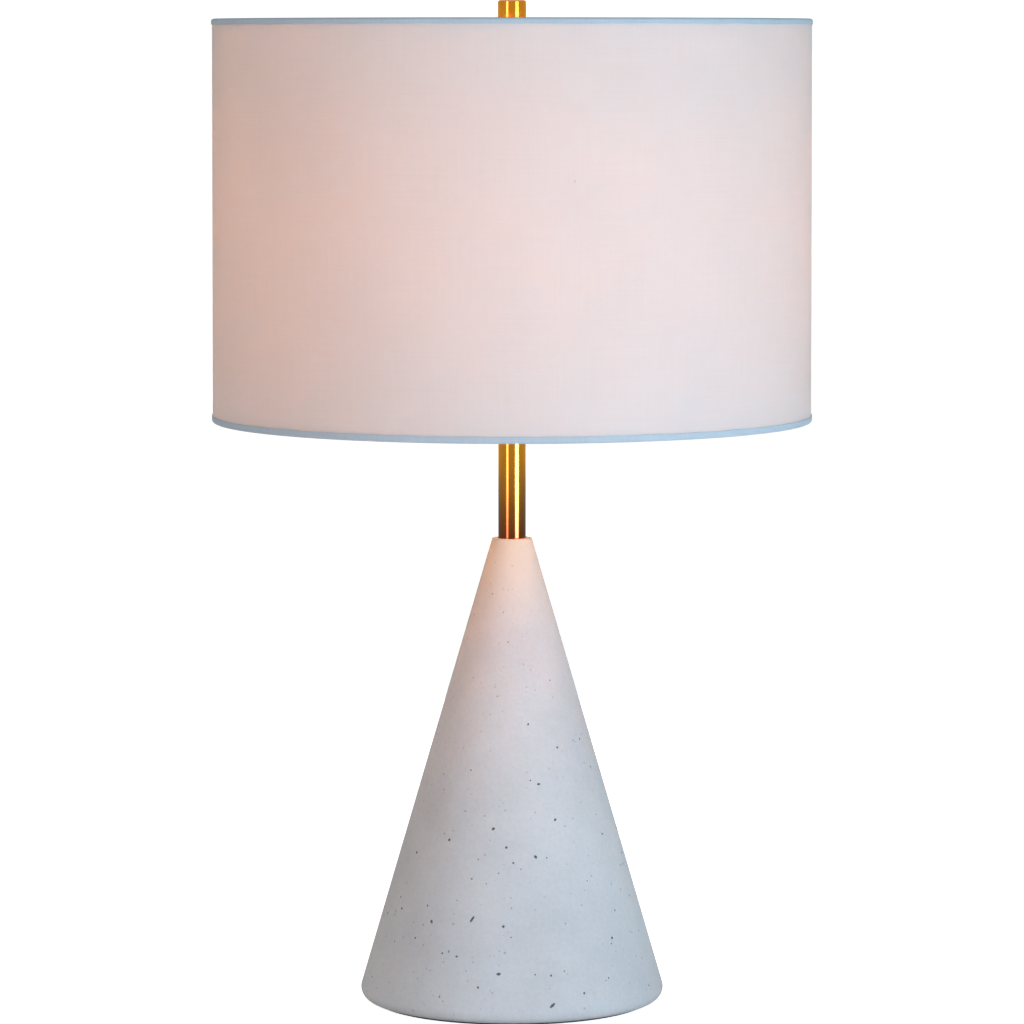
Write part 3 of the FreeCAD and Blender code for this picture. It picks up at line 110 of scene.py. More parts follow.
HEM_SEED = 3
ARM_AZIMUTHS = [math.radians(a) for a in (90, 210, 330)]
SLIT = 3.8 * MM  # in the top tape, where an arm goes through

# The weather of the cast surface
PIT_COUNT = 230
PIT_SEED = 11
PIT_GAP = 1.2 * MM
CHIP_RADII = (2.7 * MM, 0.85 * MM, 0.8 * MM)  # along the chip, across it and into the cement


# Meshes


def softened(corners, steps=6):
    """A closed outline whose corners, (x, y, radius), are rounded where the radius isn't 0."""
    outline = []
    for i, (x, y, radius) in enumerate(corners):
        here = Vector((x, y))
        before = (Vector(corners[i - 1][:2]) - here).normalized()
        after = (Vector(corners[(i + 1) % len(corners)][:2]) - here).normalized()
        if radius == 0:
            outline.append((x, y))
            continue
        half = before.angle(after) / 2
        centre = here + (before + after).normalized() * (radius / math.sin(half))
        first = here + before * (radius / math.tan(half)) - centre
        last = here + after * (radius / math.tan(half)) - centre
        sweep = first.angle_signed(last)
        for k in range(steps + 1):
            spoke = first.copy()
            spoke.rotate(Matrix.Rotation(-sweep * k / steps, 2))
            outline.append(tuple(centre + spoke))
    return outline


def divided(outline, step):
    """The outline again, with points no further apart than step."""
    points = []
    for i, start in enumerate(outline):
        end = outline[(i + 1) % len(outline)]
        count = max(1, math.ceil(math.dist(start, end) / step))
        points += [tuple(Vector(start).lerp(Vector(end), k / count)) for k in range(count)]
    return points


def even_angles(count, extra=()):
    """Angles round a full turn, with the extra ones among them."""
    even = np.linspace(0, TURN, count, endpoint=False)
    return sorted({round(a % TURN, 6) for a in [*even, *extra]})


def add_object(name, mesh, sharp=35):
    """An object with smooth faces, apart from edges sharper than that many degrees."""
    mesh.shade_smooth()
    mesh.set_sharp_from_angle(angle=math.radians(sharp))
    obj = bpy.data.objects.new(name, mesh)
    bpy.context.scene.collection.objects.link(obj)
    return obj


def swept(name, outline_at, angles, joined=True):
    """A piece whose section at each angle round Z is a closed outline of (radius, height) points.

    Its UV layer is the surface laid out in metres: along the sweep, and round the outline.
    """
    verts = []
    lengths = []
    for angle in angles:
        outline = outline_at(angle)
        verts += [(r * math.cos(angle), r * math.sin(angle), z) for r, z in outline]
        gaps = [math.dist(p, q) for p, q in zip(outline, outline[1:] + outline[:1])]
        lengths.append([0.0, *np.cumsum(gaps)])
    count = len(outline)
    reach = max(r for r, _ in outline)
    stations = [*angles, angles[0] + TURN] if joined else angles
    faces = []
    places = []
    for i in range(len(stations) - 1):
        j = (i + 1) % len(angles)
        for k in range(count):
            m = (k + 1) % count
            faces.append((i * count + k, j * count + k, j * count + m, i * count + m))
            for station, line, at in ((i, i, k), (i + 1, j, k), (i + 1, j, k + 1), (i, i, k + 1)):
                places.append((stations[station] * reach, lengths[line][at]))
    if not joined:
        last = (len(angles) - 1) * count
        faces += [tuple(range(count)), tuple(range(last, last + count))[::-1]]
        places += [(verts[v][1], verts[v][2]) for face in faces[-2:] for v in face]
    mesh = bpy.data.meshes.new(name)
    mesh.from_pydata(verts, [], faces)
    mesh.uv_layers.new(name="flat").data.foreach_set("uv", np.array(places, float).ravel())
    return add_object(name, mesh)


def add_stack(bm, rings, sides, place=Matrix(), wobble=lambda: 0.0):
    """A capped solid through circles, each (radius, distance along Z), moved by place."""
    loops = []
    for radius, height in rings:
        loop = []
        for i in range(sides):
            reach = radius + wobble()
            angle = TURN * i / sides
            spot = Vector((reach * math.cos(angle), reach * math.sin(angle), height))
            loop.append(bm.verts.new(place @ spot))
        loops.append(loop)
    for low, high in zip(loops, loops[1:]):
        for i in range(sides):
            j = (i + 1) % sides
            bm.faces.new((low[i], low[j], high[j], high[i]))
    bm.faces.new(loops[0][::-1])
    bm.faces.new(loops[-1])


# Materials


class Finish:
    """A material being made: its Principled shader, and calls that add nodes in front of it."""

    def __init__(self, name, constants):
        self.material = bpy.data.materials.get(name) or bpy.data.materials.new(name)
        self.material.use_nodes = True
        self.tree = self.material.node_tree
        self.tree.nodes.clear()
        self.output = self.add("OutputMaterial")
        self.shader = self.add("BsdfPrincipled", constants)
        self.show(self.shader)

    def add(self, kind, inputs=None, **settings):
        node = self.tree.nodes.new(f"ShaderNode{kind}")
        for key, value in settings.items():
            setattr(node, key, value)
        for key, value in (inputs or {}).items():
            self.feed(node.inputs[key], value)
        return node

    def feed(self, socket, value):
        if isinstance(value, bpy.types.NodeSocket):
            self.tree.links.new(value, socket)
        else:
            socket.default_value = value

    def show(self, shader):
        self.feed(self.output.inputs["Surface"], shader.outputs[0])

    def drive(self, **inputs):
        """Feeds the Principled shader. Base_Color stands for the socket Base Color."""
        for key, value in inputs.items():
            self.feed(self.shader.inputs[key.replace("_", " ")], value)

    def space(self, scale=(1, 1, 1)):
        """The object's own place, which is the row frame at rest, stretched."""
        own = self.add("TexCoord").outputs["Object"]
        return self.add("Mapping", {"Vector": own, "Scale": scale}).outputs[0]

    def cloth(self, scale=(1, 1, 1)):
        """The surface laid out in metres, stretched."""
        laid = self.add("UVMap", uv_map="flat").outputs[0]
        return self.add("Mapping", {"Vector": laid, "Scale": scale}).outputs[0]

    def noise(self, place, scale, detail=2.0, roughness=0.5):
        inputs = {"Vector": place, "Scale": scale, "Detail": detail, "Roughness": roughness}
        return self.add("TexNoise", inputs).outputs[0]

    def cells(self, place, scale):
        return self.add("TexVoronoi", {"Vector": place, "Scale": scale})

    def remap(self, value, low, high, to_low=0.0, to_high=1.0):
        bounds = {"From Min": low, "From Max": high, "To Min": to_low, "To Max": to_high}
        return self.add("MapRange", {"Value": value, **bounds}).outputs[0]

    def maths(self, operation, first, second=0.0):
        return self.add("Math", {0: first, 1: second}, operation=operation).outputs[0]

    def blend(self, share, first, second):
        """The first colour where share is 0, the second where it is 1."""
        node = self.add("Mix", data_type="RGBA")
        for socket, value in ((0, share), (6, first), (7, second)):
            self.feed(node.inputs[socket], value)
        return node.outputs[2]

    def bump(self, height, distance, under=None):
        inputs = {"Height": height, "Distance": distance}
        if under is not None:
            inputs["Normal"] = under
        return self.add("Bump", inputs).outputs[0]


def shade_of(colour, factor):
    return (*(min(1.0, c * factor) for c in colour), 1.0)


def metal(name, colour, roughness, grain, spread=0.06, painted_foot_shade=None, **constants):
    """Grain is how fast the fine scratches change along each axis, per metre.

    The dark foot is (colour, low, high): a painted dark reflection, clearing from low up to high.
    """
    finish = Finish(name, {"Metallic": 1.0, **constants})
    lines = finish.noise(finish.space(grain), 1.0, 3.0)
    cloud = finish.noise(finish.space(), 45.0, 4.0)
    tone = finish.remap(cloud, 0.35, 0.65)
    body = finish.blend(tone, shade_of(colour, 0.9), shade_of(colour, 1.06))
    # Painted reflection: the colour darkens towards the neck's foot, standing in for darker
    # surroundings.
    if painted_foot_shade:
        dark, low, high = painted_foot_shade
        level = finish.add("SeparateXYZ", {0: finish.space()}).outputs[2]
        body = finish.blend(finish.remap(level, low, high), shade_of(dark, 1.0), body)
    finish.drive(
        Base_Color=body,
        Roughness=finish.remap(
            finish.maths("ADD", lines, cloud), 0.7, 1.3, roughness - spread, roughness + spread
        ),
        Normal=finish.bump(lines, 0.004 * MM),
    )


def plastic(name, colour, roughness, grain=900.0, depth=0.01 * MM, spread=0.05, **constants):
    finish = Finish(name, constants)
    grains = finish.noise(finish.space(), grain, 3.0)
    cloud = finish.noise(finish.space(), 60.0, 3.0)
    tone = finish.remap(cloud, 0.35, 0.65)
    finish.drive(
        Base_Color=finish.blend(tone, shade_of(colour, 0.9), shade_of(colour, 1.08)),
        Roughness=finish.remap(cloud, 0.3, 0.7, roughness - spread, roughness + spread),
        Normal=finish.bump(grains, depth),
    )


def cast_cement(name, pale, deep, speck, painted_glow):
    """Cement: clouds, dark grains, pinholes with painted shade, and painted bulb glow at the tip.
    """
    finish = Finish(name, {"Specular IOR Level": 0.3})
    place = finish.space()
    clouds = finish.noise(place, 14.0, 5.0, 0.6)
    sand = finish.noise(place, 420.0, 3.0)
    mottle = finish.maths("ADD", clouds, finish.maths("MULTIPLY", sand, 0.45))
    tone = finish.remap(mottle, 0.45, 1.0)
    body = finish.blend(tone, shade_of(pale, 1.0), shade_of(deep, 1.0))
    # Painted light: the cone's top is tinted warm where the bulb's light falls on it.
    level = finish.add("SeparateXYZ", {0: place}).outputs[2]
    painted_glow_share = finish.remap(level, NECK_FOOT - PAINTED_GLOW_HEIGHT, NECK_FOOT)
    body = finish.blend(painted_glow_share, body, shade_of(painted_glow, 1.0))
    wander = finish.noise(place, 90.0, 2.0)
    # Specks: dark grains, and pinholes whose darkness is partly painted shade.
    specks = None
    for scale, size, share in ((150.0, 0.09, 0.3), (330.0, 0.12, 0.24)):
        cell = finish.cells(place, scale)
        pick = finish.add("SeparateColor", {0: cell.outputs["Color"]}).outputs[0]
        kept = finish.maths("LESS_THAN", pick, share)
        near = finish.remap(cell.outputs["Distance"], size, size * 1.7, 1.0, 0.0)
        strength = finish.remap(wander, 0.42, 0.6)
        made = finish.maths("MULTIPLY", finish.maths("MULTIPLY", near, kept), strength)
        specks = made if specks is None else finish.maths("MAXIMUM", specks, made)
    hidden = finish.maths("MULTIPLY", specks, 0.42)
    finish.drive(
        Base_Color=finish.blend(hidden, body, shade_of(speck, 1.0)),
        Roughness=finish.remap(clouds, 0.35, 0.65, 0.78, 0.92),
        Normal=finish.bump(
            specks, -0.12 * MM, finish.bump(sand, 0.05 * MM, finish.bump(clouds, 0.25 * MM))
        ),
    )
    return finish


# The pits' faces: partly the cement's dark aggregate, partly painted shade in the holes.
def pit_cement(name, colour):
    finish = Finish(name, {"Specular IOR Level": 0.2})
    grains = finish.noise(finish.space(), 1500.0, 3.0)
    finish.drive(
        Base_Color=finish.blend(
            finish.remap(grains, 0.3, 0.7), shade_of(colour, 0.6), shade_of(colour, 1.7)
        ),
        Roughness=finish.remap(grains, 0.3, 0.7, 0.85, 1.0),
        Normal=finish.bump(grains, 0.1 * MM),
    )
    return finish


LINEN_PITCH = 0.55 * MM  # between threads
TAPE_PITCH = 0.6 * MM


def weave(finish, pitch):
    """(height, thread) of a plain weave: its relief, and how thick or pale each thread is."""
    across, along = (
        finish.noise(finish.cloth(scale), 1.0, 3.0, 0.6)
        for scale in ((1 / pitch, 14.0, 1.0), (14.0, 1 / pitch, 1.0))
    )
    thread = finish.maths("MULTIPLY", finish.maths("ADD", across, along), 0.5)
    laid = finish.add("SeparateXYZ", {0: finish.cloth((math.pi / pitch, math.pi / pitch, 1.0))})
    waves = [finish.maths("SINE", laid.outputs[axis]) for axis in (0, 1)]
    crossing = finish.maths("MULTIPLY", *waves)
    return finish.maths("ADD", crossing, finish.maths("MULTIPLY", thread, 3.0)), thread


def linen(name, colour, glow, share):
    """Shade cloth. Share is how much of the light goes through it, tinted by glow."""
    constants = {"Specular IOR Level": 0.15, "Sheen Weight": 0.12, "Sheen Roughness": 0.5}
    finish = Finish(name, {"Roughness": 0.9, **constants})
    height, thread = weave(finish, LINEN_PITCH)
    cloud = finish.noise(finish.cloth(), 18.0, 3.0)
    patches = finish.maths("ADD", thread, finish.maths("MULTIPLY", cloud, 0.3))
    tone = finish.remap(patches, 0.45, 0.85)
    body = finish.blend(tone, shade_of(colour, 0.965), shade_of(colour, 1.02))
    slub = finish.cells(finish.cloth((60.0, 26.0, 1.0)), 1.0)
    pick = finish.add("SeparateColor", {0: slub.outputs["Color"]}).outputs[0]
    fleck = finish.maths(
        "MULTIPLY",
        finish.maths("LESS_THAN", pick, 0.07),
        finish.remap(slub.outputs["Distance"], 0.022, 0.04, 0.4, 0.0),
    )
    relief = finish.bump(height, 0.02 * MM)
    finish.drive(Base_Color=finish.blend(fleck, body, shade_of(colour, 0.35)), Normal=relief)
    through = finish.add(
        "BsdfTranslucent",
        {"Color": finish.blend(tone, shade_of(glow, 0.94), shade_of(glow, 1.0)), "Normal": relief},
    )
    mixed = finish.add("MixShader", {0: share, 1: finish.shader.outputs[0], 2: through.outputs[0]})
    finish.show(mixed)
    return finish


def tape(name, colour):
    """The hem's woven tape, which lets no light through."""
    finish = Finish(name, {"Specular IOR Level": 0.2, "Sheen Weight": 0.15, "Roughness": 0.85})
    height, thread = weave(finish, TAPE_PITCH)
    cloud = finish.noise(finish.cloth(), 30.0, 3.0)
    patches = finish.maths("ADD", thread, finish.maths("MULTIPLY", cloud, 0.4))
    tone = finish.remap(patches, 0.5, 0.9)
    finish.drive(
        Base_Color=finish.blend(tone, shade_of(colour, 0.9), shade_of(colour, 1.06)),
        Normal=finish.bump(height, 0.03 * MM),
    )
    return finish


def laminate(name, colour, glow, share):
    """The stiff plastic behind the cloth, white and translucent, with a faint grain."""
    finish = Finish(name, {"Specular IOR Level": 0.3, "Roughness": 0.6})
    grain = finish.noise(finish.space(), 700.0, 2.0)
    cloud = finish.noise(finish.space(), 25.0, 3.0)
    tone = finish.remap(cloud, 0.3, 0.7)
    relief = finish.bump(grain, 0.015 * MM)
    finish.drive(
        Base_Color=finish.blend(tone, shade_of(colour, 0.95), shade_of(colour, 1.02)),
        Normal=relief,
        Roughness=finish.remap(grain, 0.3, 0.7, 0.5, 0.7),
    )
    through = finish.add(
        "BsdfTranslucent",
        {"Color": finish.blend(tone, shade_of(glow, 0.95), shade_of(glow, 1.0)), "Normal": relief},
    )
    mixed = finish.add("MixShader", {0: share, 1: finish.shader.outputs[0], 2: through.outputs[0]})
    finish.show(mixed)


def felt(name, colour):
    """Pressed wool: short fibres every way, with paler and darker ones among them."""
    constants = {"Specular IOR Level": 0.1, "Sheen Weight": 0.5, "Sheen Roughness": 0.6}
    finish = Finish(name, {"Roughness": 0.95, **constants})
    strands = [
        finish.noise(finish.space(scale), 1.0, 4.0, 0.7)
        for scale in ((500, 2500, 900), (2500, 500, 900))
    ]
    fibre = finish.maths("MAXIMUM", *strands)
    cloud = finish.noise(finish.space(), 60.0, 3.0)
    patches = finish.maths("ADD", fibre, finish.maths("MULTIPLY", cloud, 0.5))
    tone = finish.remap(patches, 0.6, 1.1)
    finish.drive(
        Base_Color=finish.blend(tone, shade_of(colour, 0.6), shade_of(colour, 1.5)),
        Normal=finish.bump(fibre, 0.25 * MM),
    )
    return finish


def board(name, colour):
    """Hardboard: brown, with pressed chips and fibres."""
    finish = Finish(name, {"Specular IOR Level": 0.25})
    chips = finish.cells(finish.space((1.0, 0.6, 1.0)), 700.0)
    fibre = finish.noise(finish.space((400, 1500, 600)), 1.0, 4.0)
    tone = finish.maths("MULTIPLY", finish.maths("ADD", chips.outputs["Distance"], fibre), 0.6)
    finish.drive(
        Base_Color=finish.blend(tone, shade_of(colour, 0.65), shade_of(colour, 1.35)),
        Roughness=finish.remap(fibre, 0.3, 0.7, 0.6, 0.85),
        Normal=finish.bump(tone, 0.06 * MM),
    )


def frosted_bulb(name, colour, warm, cool, strength, seen, shown):
    """The lit envelope, dimmer towards its neck.

    Its light goes from warm at the neck to cool, at that strength. To the eye its colour is seen,
    at the strength shown.
    """
    finish = Finish(name, {"Emission Strength": strength})
    eye = finish.add("LightPath").outputs["Is Camera Ray"]
    dim = shown / strength
    low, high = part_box("bulb_glass")
    level = finish.add("SeparateXYZ", {0: finish.space()}).outputs[2]
    frost = finish.noise(finish.space(), 900.0, 2.0)
    lit = finish.remap(level, low.z, low.z + (high.z - low.z) * 0.55)
    glow = finish.blend(lit, shade_of(warm, 1.0), shade_of(cool, 1.0))
    look = finish.blend(lit, shade_of(seen, dim * 0.5), shade_of(seen, dim))
    finish.drive(
        Base_Color=finish.blend(frost, shade_of(colour, 0.92), shade_of(colour, 1.0)),
        Emission_Color=finish.blend(eye, glow, look),
        Roughness=finish.remap(frost, 0.3, 0.7, 0.25, 0.4),
        Normal=finish.bump(frost, 0.01 * MM),
    )
    finish.material.cycles.emission_sampling = "FRONT"


def clear_glass(name, colour, roughness):
    finish = Finish(name, {"Transmission Weight": 1.0, "IOR": 1.5})
    streaks = finish.noise(finish.space((120, 120, 900)), 1.0, 2.0)
    finish.drive(
        Base_Color=finish.blend(streaks, shade_of(colour, 0.96), shade_of(colour, 1.0)),
        Roughness=finish.remap(streaks, 0.3, 0.7, roughness * 0.5, roughness * 1.5),
        Normal=finish.bump(streaks, 0.01 * MM),
    )


ROUND_Z = (30, 30, 5000)  # scratches that run round the lamp's axis
ALONG_Z = (4000, 4000, 60)  # scratches that run up it
NECK_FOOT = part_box("cone_body")[1].z
PAINTED_SHADE_HEIGHT = 57 * MM  # how far up the neck the painted dark reflection reaches
PAINTED_GLOW_HEIGHT = 60 * MM  # how far down the cone the painted warm glow of the bulb's light reaches
# The antique brass darkens towards the neck's foot: a painted dark reflection.
metal(
    "antique_brass",
    (0.97, 0.41, 0.035),
    0.13,
    ROUND_Z,
    spread=0.03,
    painted_foot_shade=((0.42, 0.07, 0.004), NECK_FOOT, NECK_FOOT + PAINTED_SHADE_HEIGHT),
    **{"Anisotropic": 0.4, "Coat Weight": 1.0, "Coat Roughness": 0.05},
)
metal("harp_brass", (0.80, 0.53, 0.21), 0.26, (400, 400, 400))
metal("polished_brass", (0.86, 0.60, 0.27), 0.2, ROUND_Z)
metal("zinc_steel", (0.60, 0.61, 0.60), 0.32, (700, 700, 700), spread=0.1)
metal("tungsten", (0.35, 0.33, 0.31), 0.45, ALONG_Z)
metal("bulb_metal", (0.72, 0.70, 0.66), 0.24, ROUND_Z)
plastic("bushing_plastic", (0.86, 0.85, 0.82), 0.4, 500.0)
plastic("fibre", (0.16, 0.11, 0.07), 0.8, 1400.0, 0.03 * MM)
plastic("phenolic", (0.028, 0.024, 0.022), 0.32, 700.0)
plastic("knob_plastic", (0.02, 0.019, 0.018), 0.3, 800.0, 0.008 * MM)
plastic("lead_white", (0.78, 0.77, 0.74), 0.45, 600.0)
plastic("lead_black", (0.02, 0.02, 0.02), 0.42, 600.0)
plastic("splice_plastic", (0.75, 0.36, 0.05), 0.4, 800.0)
plastic("black_glass", (0.012, 0.012, 0.014), 0.12, 300.0, 0.004 * MM, 0.03, IOR=1.52)
plastic("white_wire", (0.80, 0.80, 0.79), 0.35, 1100.0, 0.02 * MM, **{"Coat Weight": 0.2})
# The last colour is the painted warm glow of the bulb's light on the cone's tip.
cement = cast_cement(
    "cement", (0.695, 0.695, 0.70), (0.575, 0.575, 0.58), (0.14, 0.13, 0.125), (0.69, 0.645, 0.555)
)
pit_aggregate_and_shade = pit_cement("cement_pit", (0.16, 0.15, 0.145))
cover_cloth = linen("shade_fabric", (0.89, 0.86, 0.855), (1.0, 0.97, 0.91), 0.38)
hem_tape = tape("hem_fabric", (0.57, 0.61, 0.65))
laminate("shade_backing", (0.90, 0.90, 0.89), (1.0, 0.98, 0.96), 0.55)
felt_wool = felt("felt", (0.062, 0.049, 0.045))
board("hardboard", (0.30, 0.18, 0.09))
frosted_bulb(
    "bulb_glass",
    (0.65, 0.65, 0.64),
    warm=(1.0, 0.28, 0.05),
    cool=(1.0, 0.34, 0.07),
    strength=96.0,
    seen=(1.0, 0.80, 0.52),
    shown=0.7,
)
clear_glass("stem_glass", (0.95, 0.97, 0.96), 0.05)


# The cone


def cone_radius(height, foot, top):
    return CONE_BASE_RADIUS + (CONE_TOP_RADIUS - CONE_BASE_RADIUS) * (height - foot) / (top - foot)


def cone_section():
    """Half the cone's section, counter-clockwise, with the seats of the pieces that it holds."""
    low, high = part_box("cone_body")
    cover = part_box("bottom_cover")[1]
    neck_low, neck_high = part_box("neck_tube")
    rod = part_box("threaded_rod")[1].x + ROD_PLAY
    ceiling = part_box("plug_washer")[1].z
    return softened(
        [
            (cover.x + FIT, low.z, RECESS_ROUND),
            (CONE_BASE_RADIUS, low.z, CONE_BASE_ROUND),
            (CONE_TOP_RADIUS, high.z, CONE_TOP_ROUND),
            (neck_high.x + FIT, high.z, SEAT_ROUND),
            (neck_high.x + FIT, neck_low.z, 0),
            (rod, neck_low.z, 0),
            (rod, ceiling, HOLE_ROUND),
            (CAVITY_TOP_RADIUS, ceiling, CAVITY_TOP_ROUND),
            (CAVITY_BASE_RADIUS, cover.z + FIT, CAVITY_FOOT_ROUND),
            (cover.x + FIT, cover.z + FIT, 0),
        ],
        10,
    )


def add_pit(bm, rng, azimuth, height, radii, tilt, foot, top):
    """A rough ellipsoid set in the cone's side. Radii are along the side, across it and into it."""
    lean = math.atan2(CONE_BASE_RADIUS - CONE_TOP_RADIUS, top - foot)
    reach = cone_radius(height, foot, top)
    centre = Vector((reach * math.cos(azimuth), reach * math.sin(azimuth), height))
    outward = Matrix.Rotation(azimuth, 4, "Z") @ Matrix.Rotation(-lean, 4, "Y")
    place = Matrix.Translation(centre) @ outward @ Matrix.Rotation(tilt, 4, "X")
    scale = Matrix.Diagonal((radii[2], radii[1], radii[0], 1))
    made = bmesh.ops.create_icosphere(bm, subdivisions=2, radius=1)
    for vert in made["verts"]:
        vert.co = place @ scale @ (vert.co * rng.uniform(0.86, 1.1))
        # The pit's faces take the dark pit colour, which is partly painted shade.
        for face in vert.link_faces:
            face.material_index = 1


def cut_by(obj, cutter):
    """Takes the cutter's shape out of the object, whose cut faces keep the cutter's materials."""
    modifier = obj.modifiers.new("cut", "BOOLEAN")
    modifier.operation = "DIFFERENCE"
    modifier.solver = "EXACT"
    modifier.material_mode = "TRANSFER"
    modifier.object = cutter
    evaluated = obj.evaluated_get(bpy.context.evaluated_depsgraph_get())
    obj.data = bpy.data.meshes.new_from_object(evaluated)
    obj.modifiers.clear()
    bpy.data.objects.remove(cutter)


def cone_pits(bm, rng, foot, top):
    """Air holes of many sizes, with more of them low on the cone, and a few long chips.

    Each is wanted as (azimuth, share of the height, radii, tilt). The first is the chip in front.
    """
    taken = []
    wanted = [(FRONT - math.radians(18), 0.215, CHIP_RADII, math.radians(-30))]
    while len(wanted) < PIT_COUNT:
        share = rng.uniform(0.03, 0.97)
        if rng.random() > (1 - share) * (1.15 - share * 0.8):
            continue
        size = (0.38 + 0.7 * rng.random() ** 2.8) * MM
        stretch = rng.uniform(1.9, 3.0) if rng.random() < 0.05 else rng.uniform(1.0, 1.5)
        radii = (size * stretch, size, size * rng.uniform(0.7, 1.0))
        wanted.append((rng.uniform(0, TURN), share, radii, rng.uniform(0, math.pi)))
    for azimuth, share, radii, tilt in wanted:
        height = foot + share * (top - foot)
        reach = cone_radius(height, foot, top)
        spot = Vector((reach * math.cos(azimuth), reach * math.sin(azimuth), height))
        outlet = math.hypot(spot.x, spot.z - OUTLET_HEIGHT) < OUTLET_MARGIN and spot.y > 0
        close = any((spot - other).length < gap + radii[0] + PIT_GAP for other, gap in taken)
        if outlet or close:
            continue
        taken.append((spot, radii[0]))
        add_pit(bm, rng, azimuth, height, radii, tilt, foot, top)


def make_cone():
    low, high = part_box("cone_body")
    outline = divided(cone_section(), CONE_STEP)
    cone = swept("cement_cone", lambda angle: outline, even_angles(CONE_SIDES))
    cone.data.materials.append(cement.material)
    cone.data.materials.append(pit_aggregate_and_shade.material)
    bushing_low, bushing_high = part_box("cord_bushing")
    flange = bushing_high.x + OUTLET_FIT
    barrel = BUSHING_RADIUS + OUTLET_FIT
    step = bushing_high.y - BUSHING_FLANGE
    bm = bmesh.new()
    rings = [(barrel, bushing_low.y - CUT_PAST), (barrel, step), (flange, step)]
    rings.append((flange, CONE_BASE_RADIUS))
    place = Matrix.Translation((0, 0, OUTLET_HEIGHT)) @ Matrix.Rotation(-math.pi / 2, 4, "X")
    add_stack(bm, rings, OUTLET_SIDES, place)
    cone_pits(bm, random.Random(PIT_SEED), low.z, high.z)
    mesh = bpy.data.meshes.new("cutter")
    bm.to_mesh(mesh)
    bm.free()
    mesh.materials.append(cement.material)
    mesh.materials.append(pit_aggregate_and_shade.material)
    cutter = bpy.data.objects.new("cutter", mesh)
    bpy.context.scene.collection.objects.link(cutter)
    cut_by(cone, cutter)
    cone.data.shade_smooth()
    cone.data.set_sharp_from_angle(angle=math.radians(32))
    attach(cone, "base")
    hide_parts("cone_body")


# The felt pad


def make_felt():
    low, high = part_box("felt_pad")
    rng = random.Random(FELT_SEED)
    radius = high.x - FELT_FUZZ
    flat = (radius / 2, radius - FELT_BORDER, radius - FELT_INSET)
    bm = bmesh.new()
    rings = [(reach, low.z) for reach in flat]
    rings += [(radius, low.z + FELT_INSET), (radius, high.z - FELT_INSET)]
    rings += [(reach, high.z) for reach in reversed(flat)]
    add_stack(bm, rings, FELT_SIDES, wobble=lambda: rng.uniform(-FELT_FUZZ, FELT_FUZZ))
    mesh = bpy.data.meshes.new("felt_disc")
    bm.to_mesh(mesh)
    bm.free()
    disc = add_object("felt_disc", mesh, 60)
    disc.data.materials.append(felt_wool.material)
    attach(disc, "base")
    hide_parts("felt_pad")


# The shade's cloth and tapes


def seam_lift(angle):
    """How far the cloth stands off behind its lap, from 0 to 1, at an angle round the shade."""
    around = (angle - SEAM + math.pi) % TURN - math.pi
    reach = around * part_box("shade_cover")[1].y
    before = min(1, max(0, 1 + reach / SEAM_RAMP))
    after = min(1, max(0, 1 - (reach - SEAM_LAP) / SEAM_RAMP))
    share = min(before, after)
    return share * share * (3 - 2 * share)


def make_cover():
    low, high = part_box("shade_cover")
    rows = np.linspace(0, 1, CLOTH_ROWS)
    lap = SEAM_LAP / high.y
    ramp = SEAM_RAMP / high.y
    bottom, top = low.z + CLOTH_MARGIN, high.z - CLOTH_MARGIN

    def outline_at(angle):
        climb = min(1, max(0, (angle - (SEAM + TURN - ramp)) / ramp))
        lift = climb * climb * (3 - 2 * climb) * (CLOTH + LAP_GAP)
        outer = []
        inner = []
        for share in rows:
            radius = high.y - SHADE_TAPER * share + lift
            height = bottom + (top - bottom) * share
            outer.append((radius, height))
            inner.append((radius - CLOTH, height))
        return outer + inner[::-1]

    angles = list(np.linspace(SEAM, SEAM + TURN + lap, CLOTH_STATIONS))
    angles = sorted({*angles, *(SEAM + TURN - ramp * k / 6 for k in range(7))})
    cover = swept("fabric_cover", outline_at, angles, joined=False)
    cover.data.materials.append(cover_cloth.material)
    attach(cover, "shade")
    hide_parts("shade_cover")
    return cover


def tape_line(radius, edge, up):
    """The tape's middle line in section, from its outer free edge over the ring to the inner."""
    half = CLOTH / 2
    outer = radius + HEM_STAND - half
    inner = radius + HEM_STAND - HEM_REACH + half
    crown = edge - up * half
    corners = [
        (outer, edge - up * (HEM_OUTER_LEGS[up] + half), 0),
        (outer, crown, HEM_OUTER_FOLD),
        (inner, crown, HEM_INNER_FOLD),
        (inner, edge - up * (HEM_INNER_LEG + half), 0),
    ]
    return softened(corners, 8)


def strip(line, share, thickness):
    """A closed outline round the first share of a line, that thick, with even points along it."""
    points = np.array(line)
    along = np.concatenate([[0], np.cumsum(np.linalg.norm(np.diff(points, axis=0), axis=1))])
    at = np.linspace(0, along[-1] * share, HEM_POINTS)
    middle = np.stack([np.interp(at, along, points[:, i]) for i in (0, 1)], axis=1)
    ahead = np.gradient(middle, axis=0)
    ahead /= np.linalg.norm(ahead, axis=1)[:, None]
    side = np.stack([ahead[:, 1], -ahead[:, 0]], axis=1) * thickness / 2
    return [tuple(p) for p in middle + side], [tuple(p) for p in middle - side]


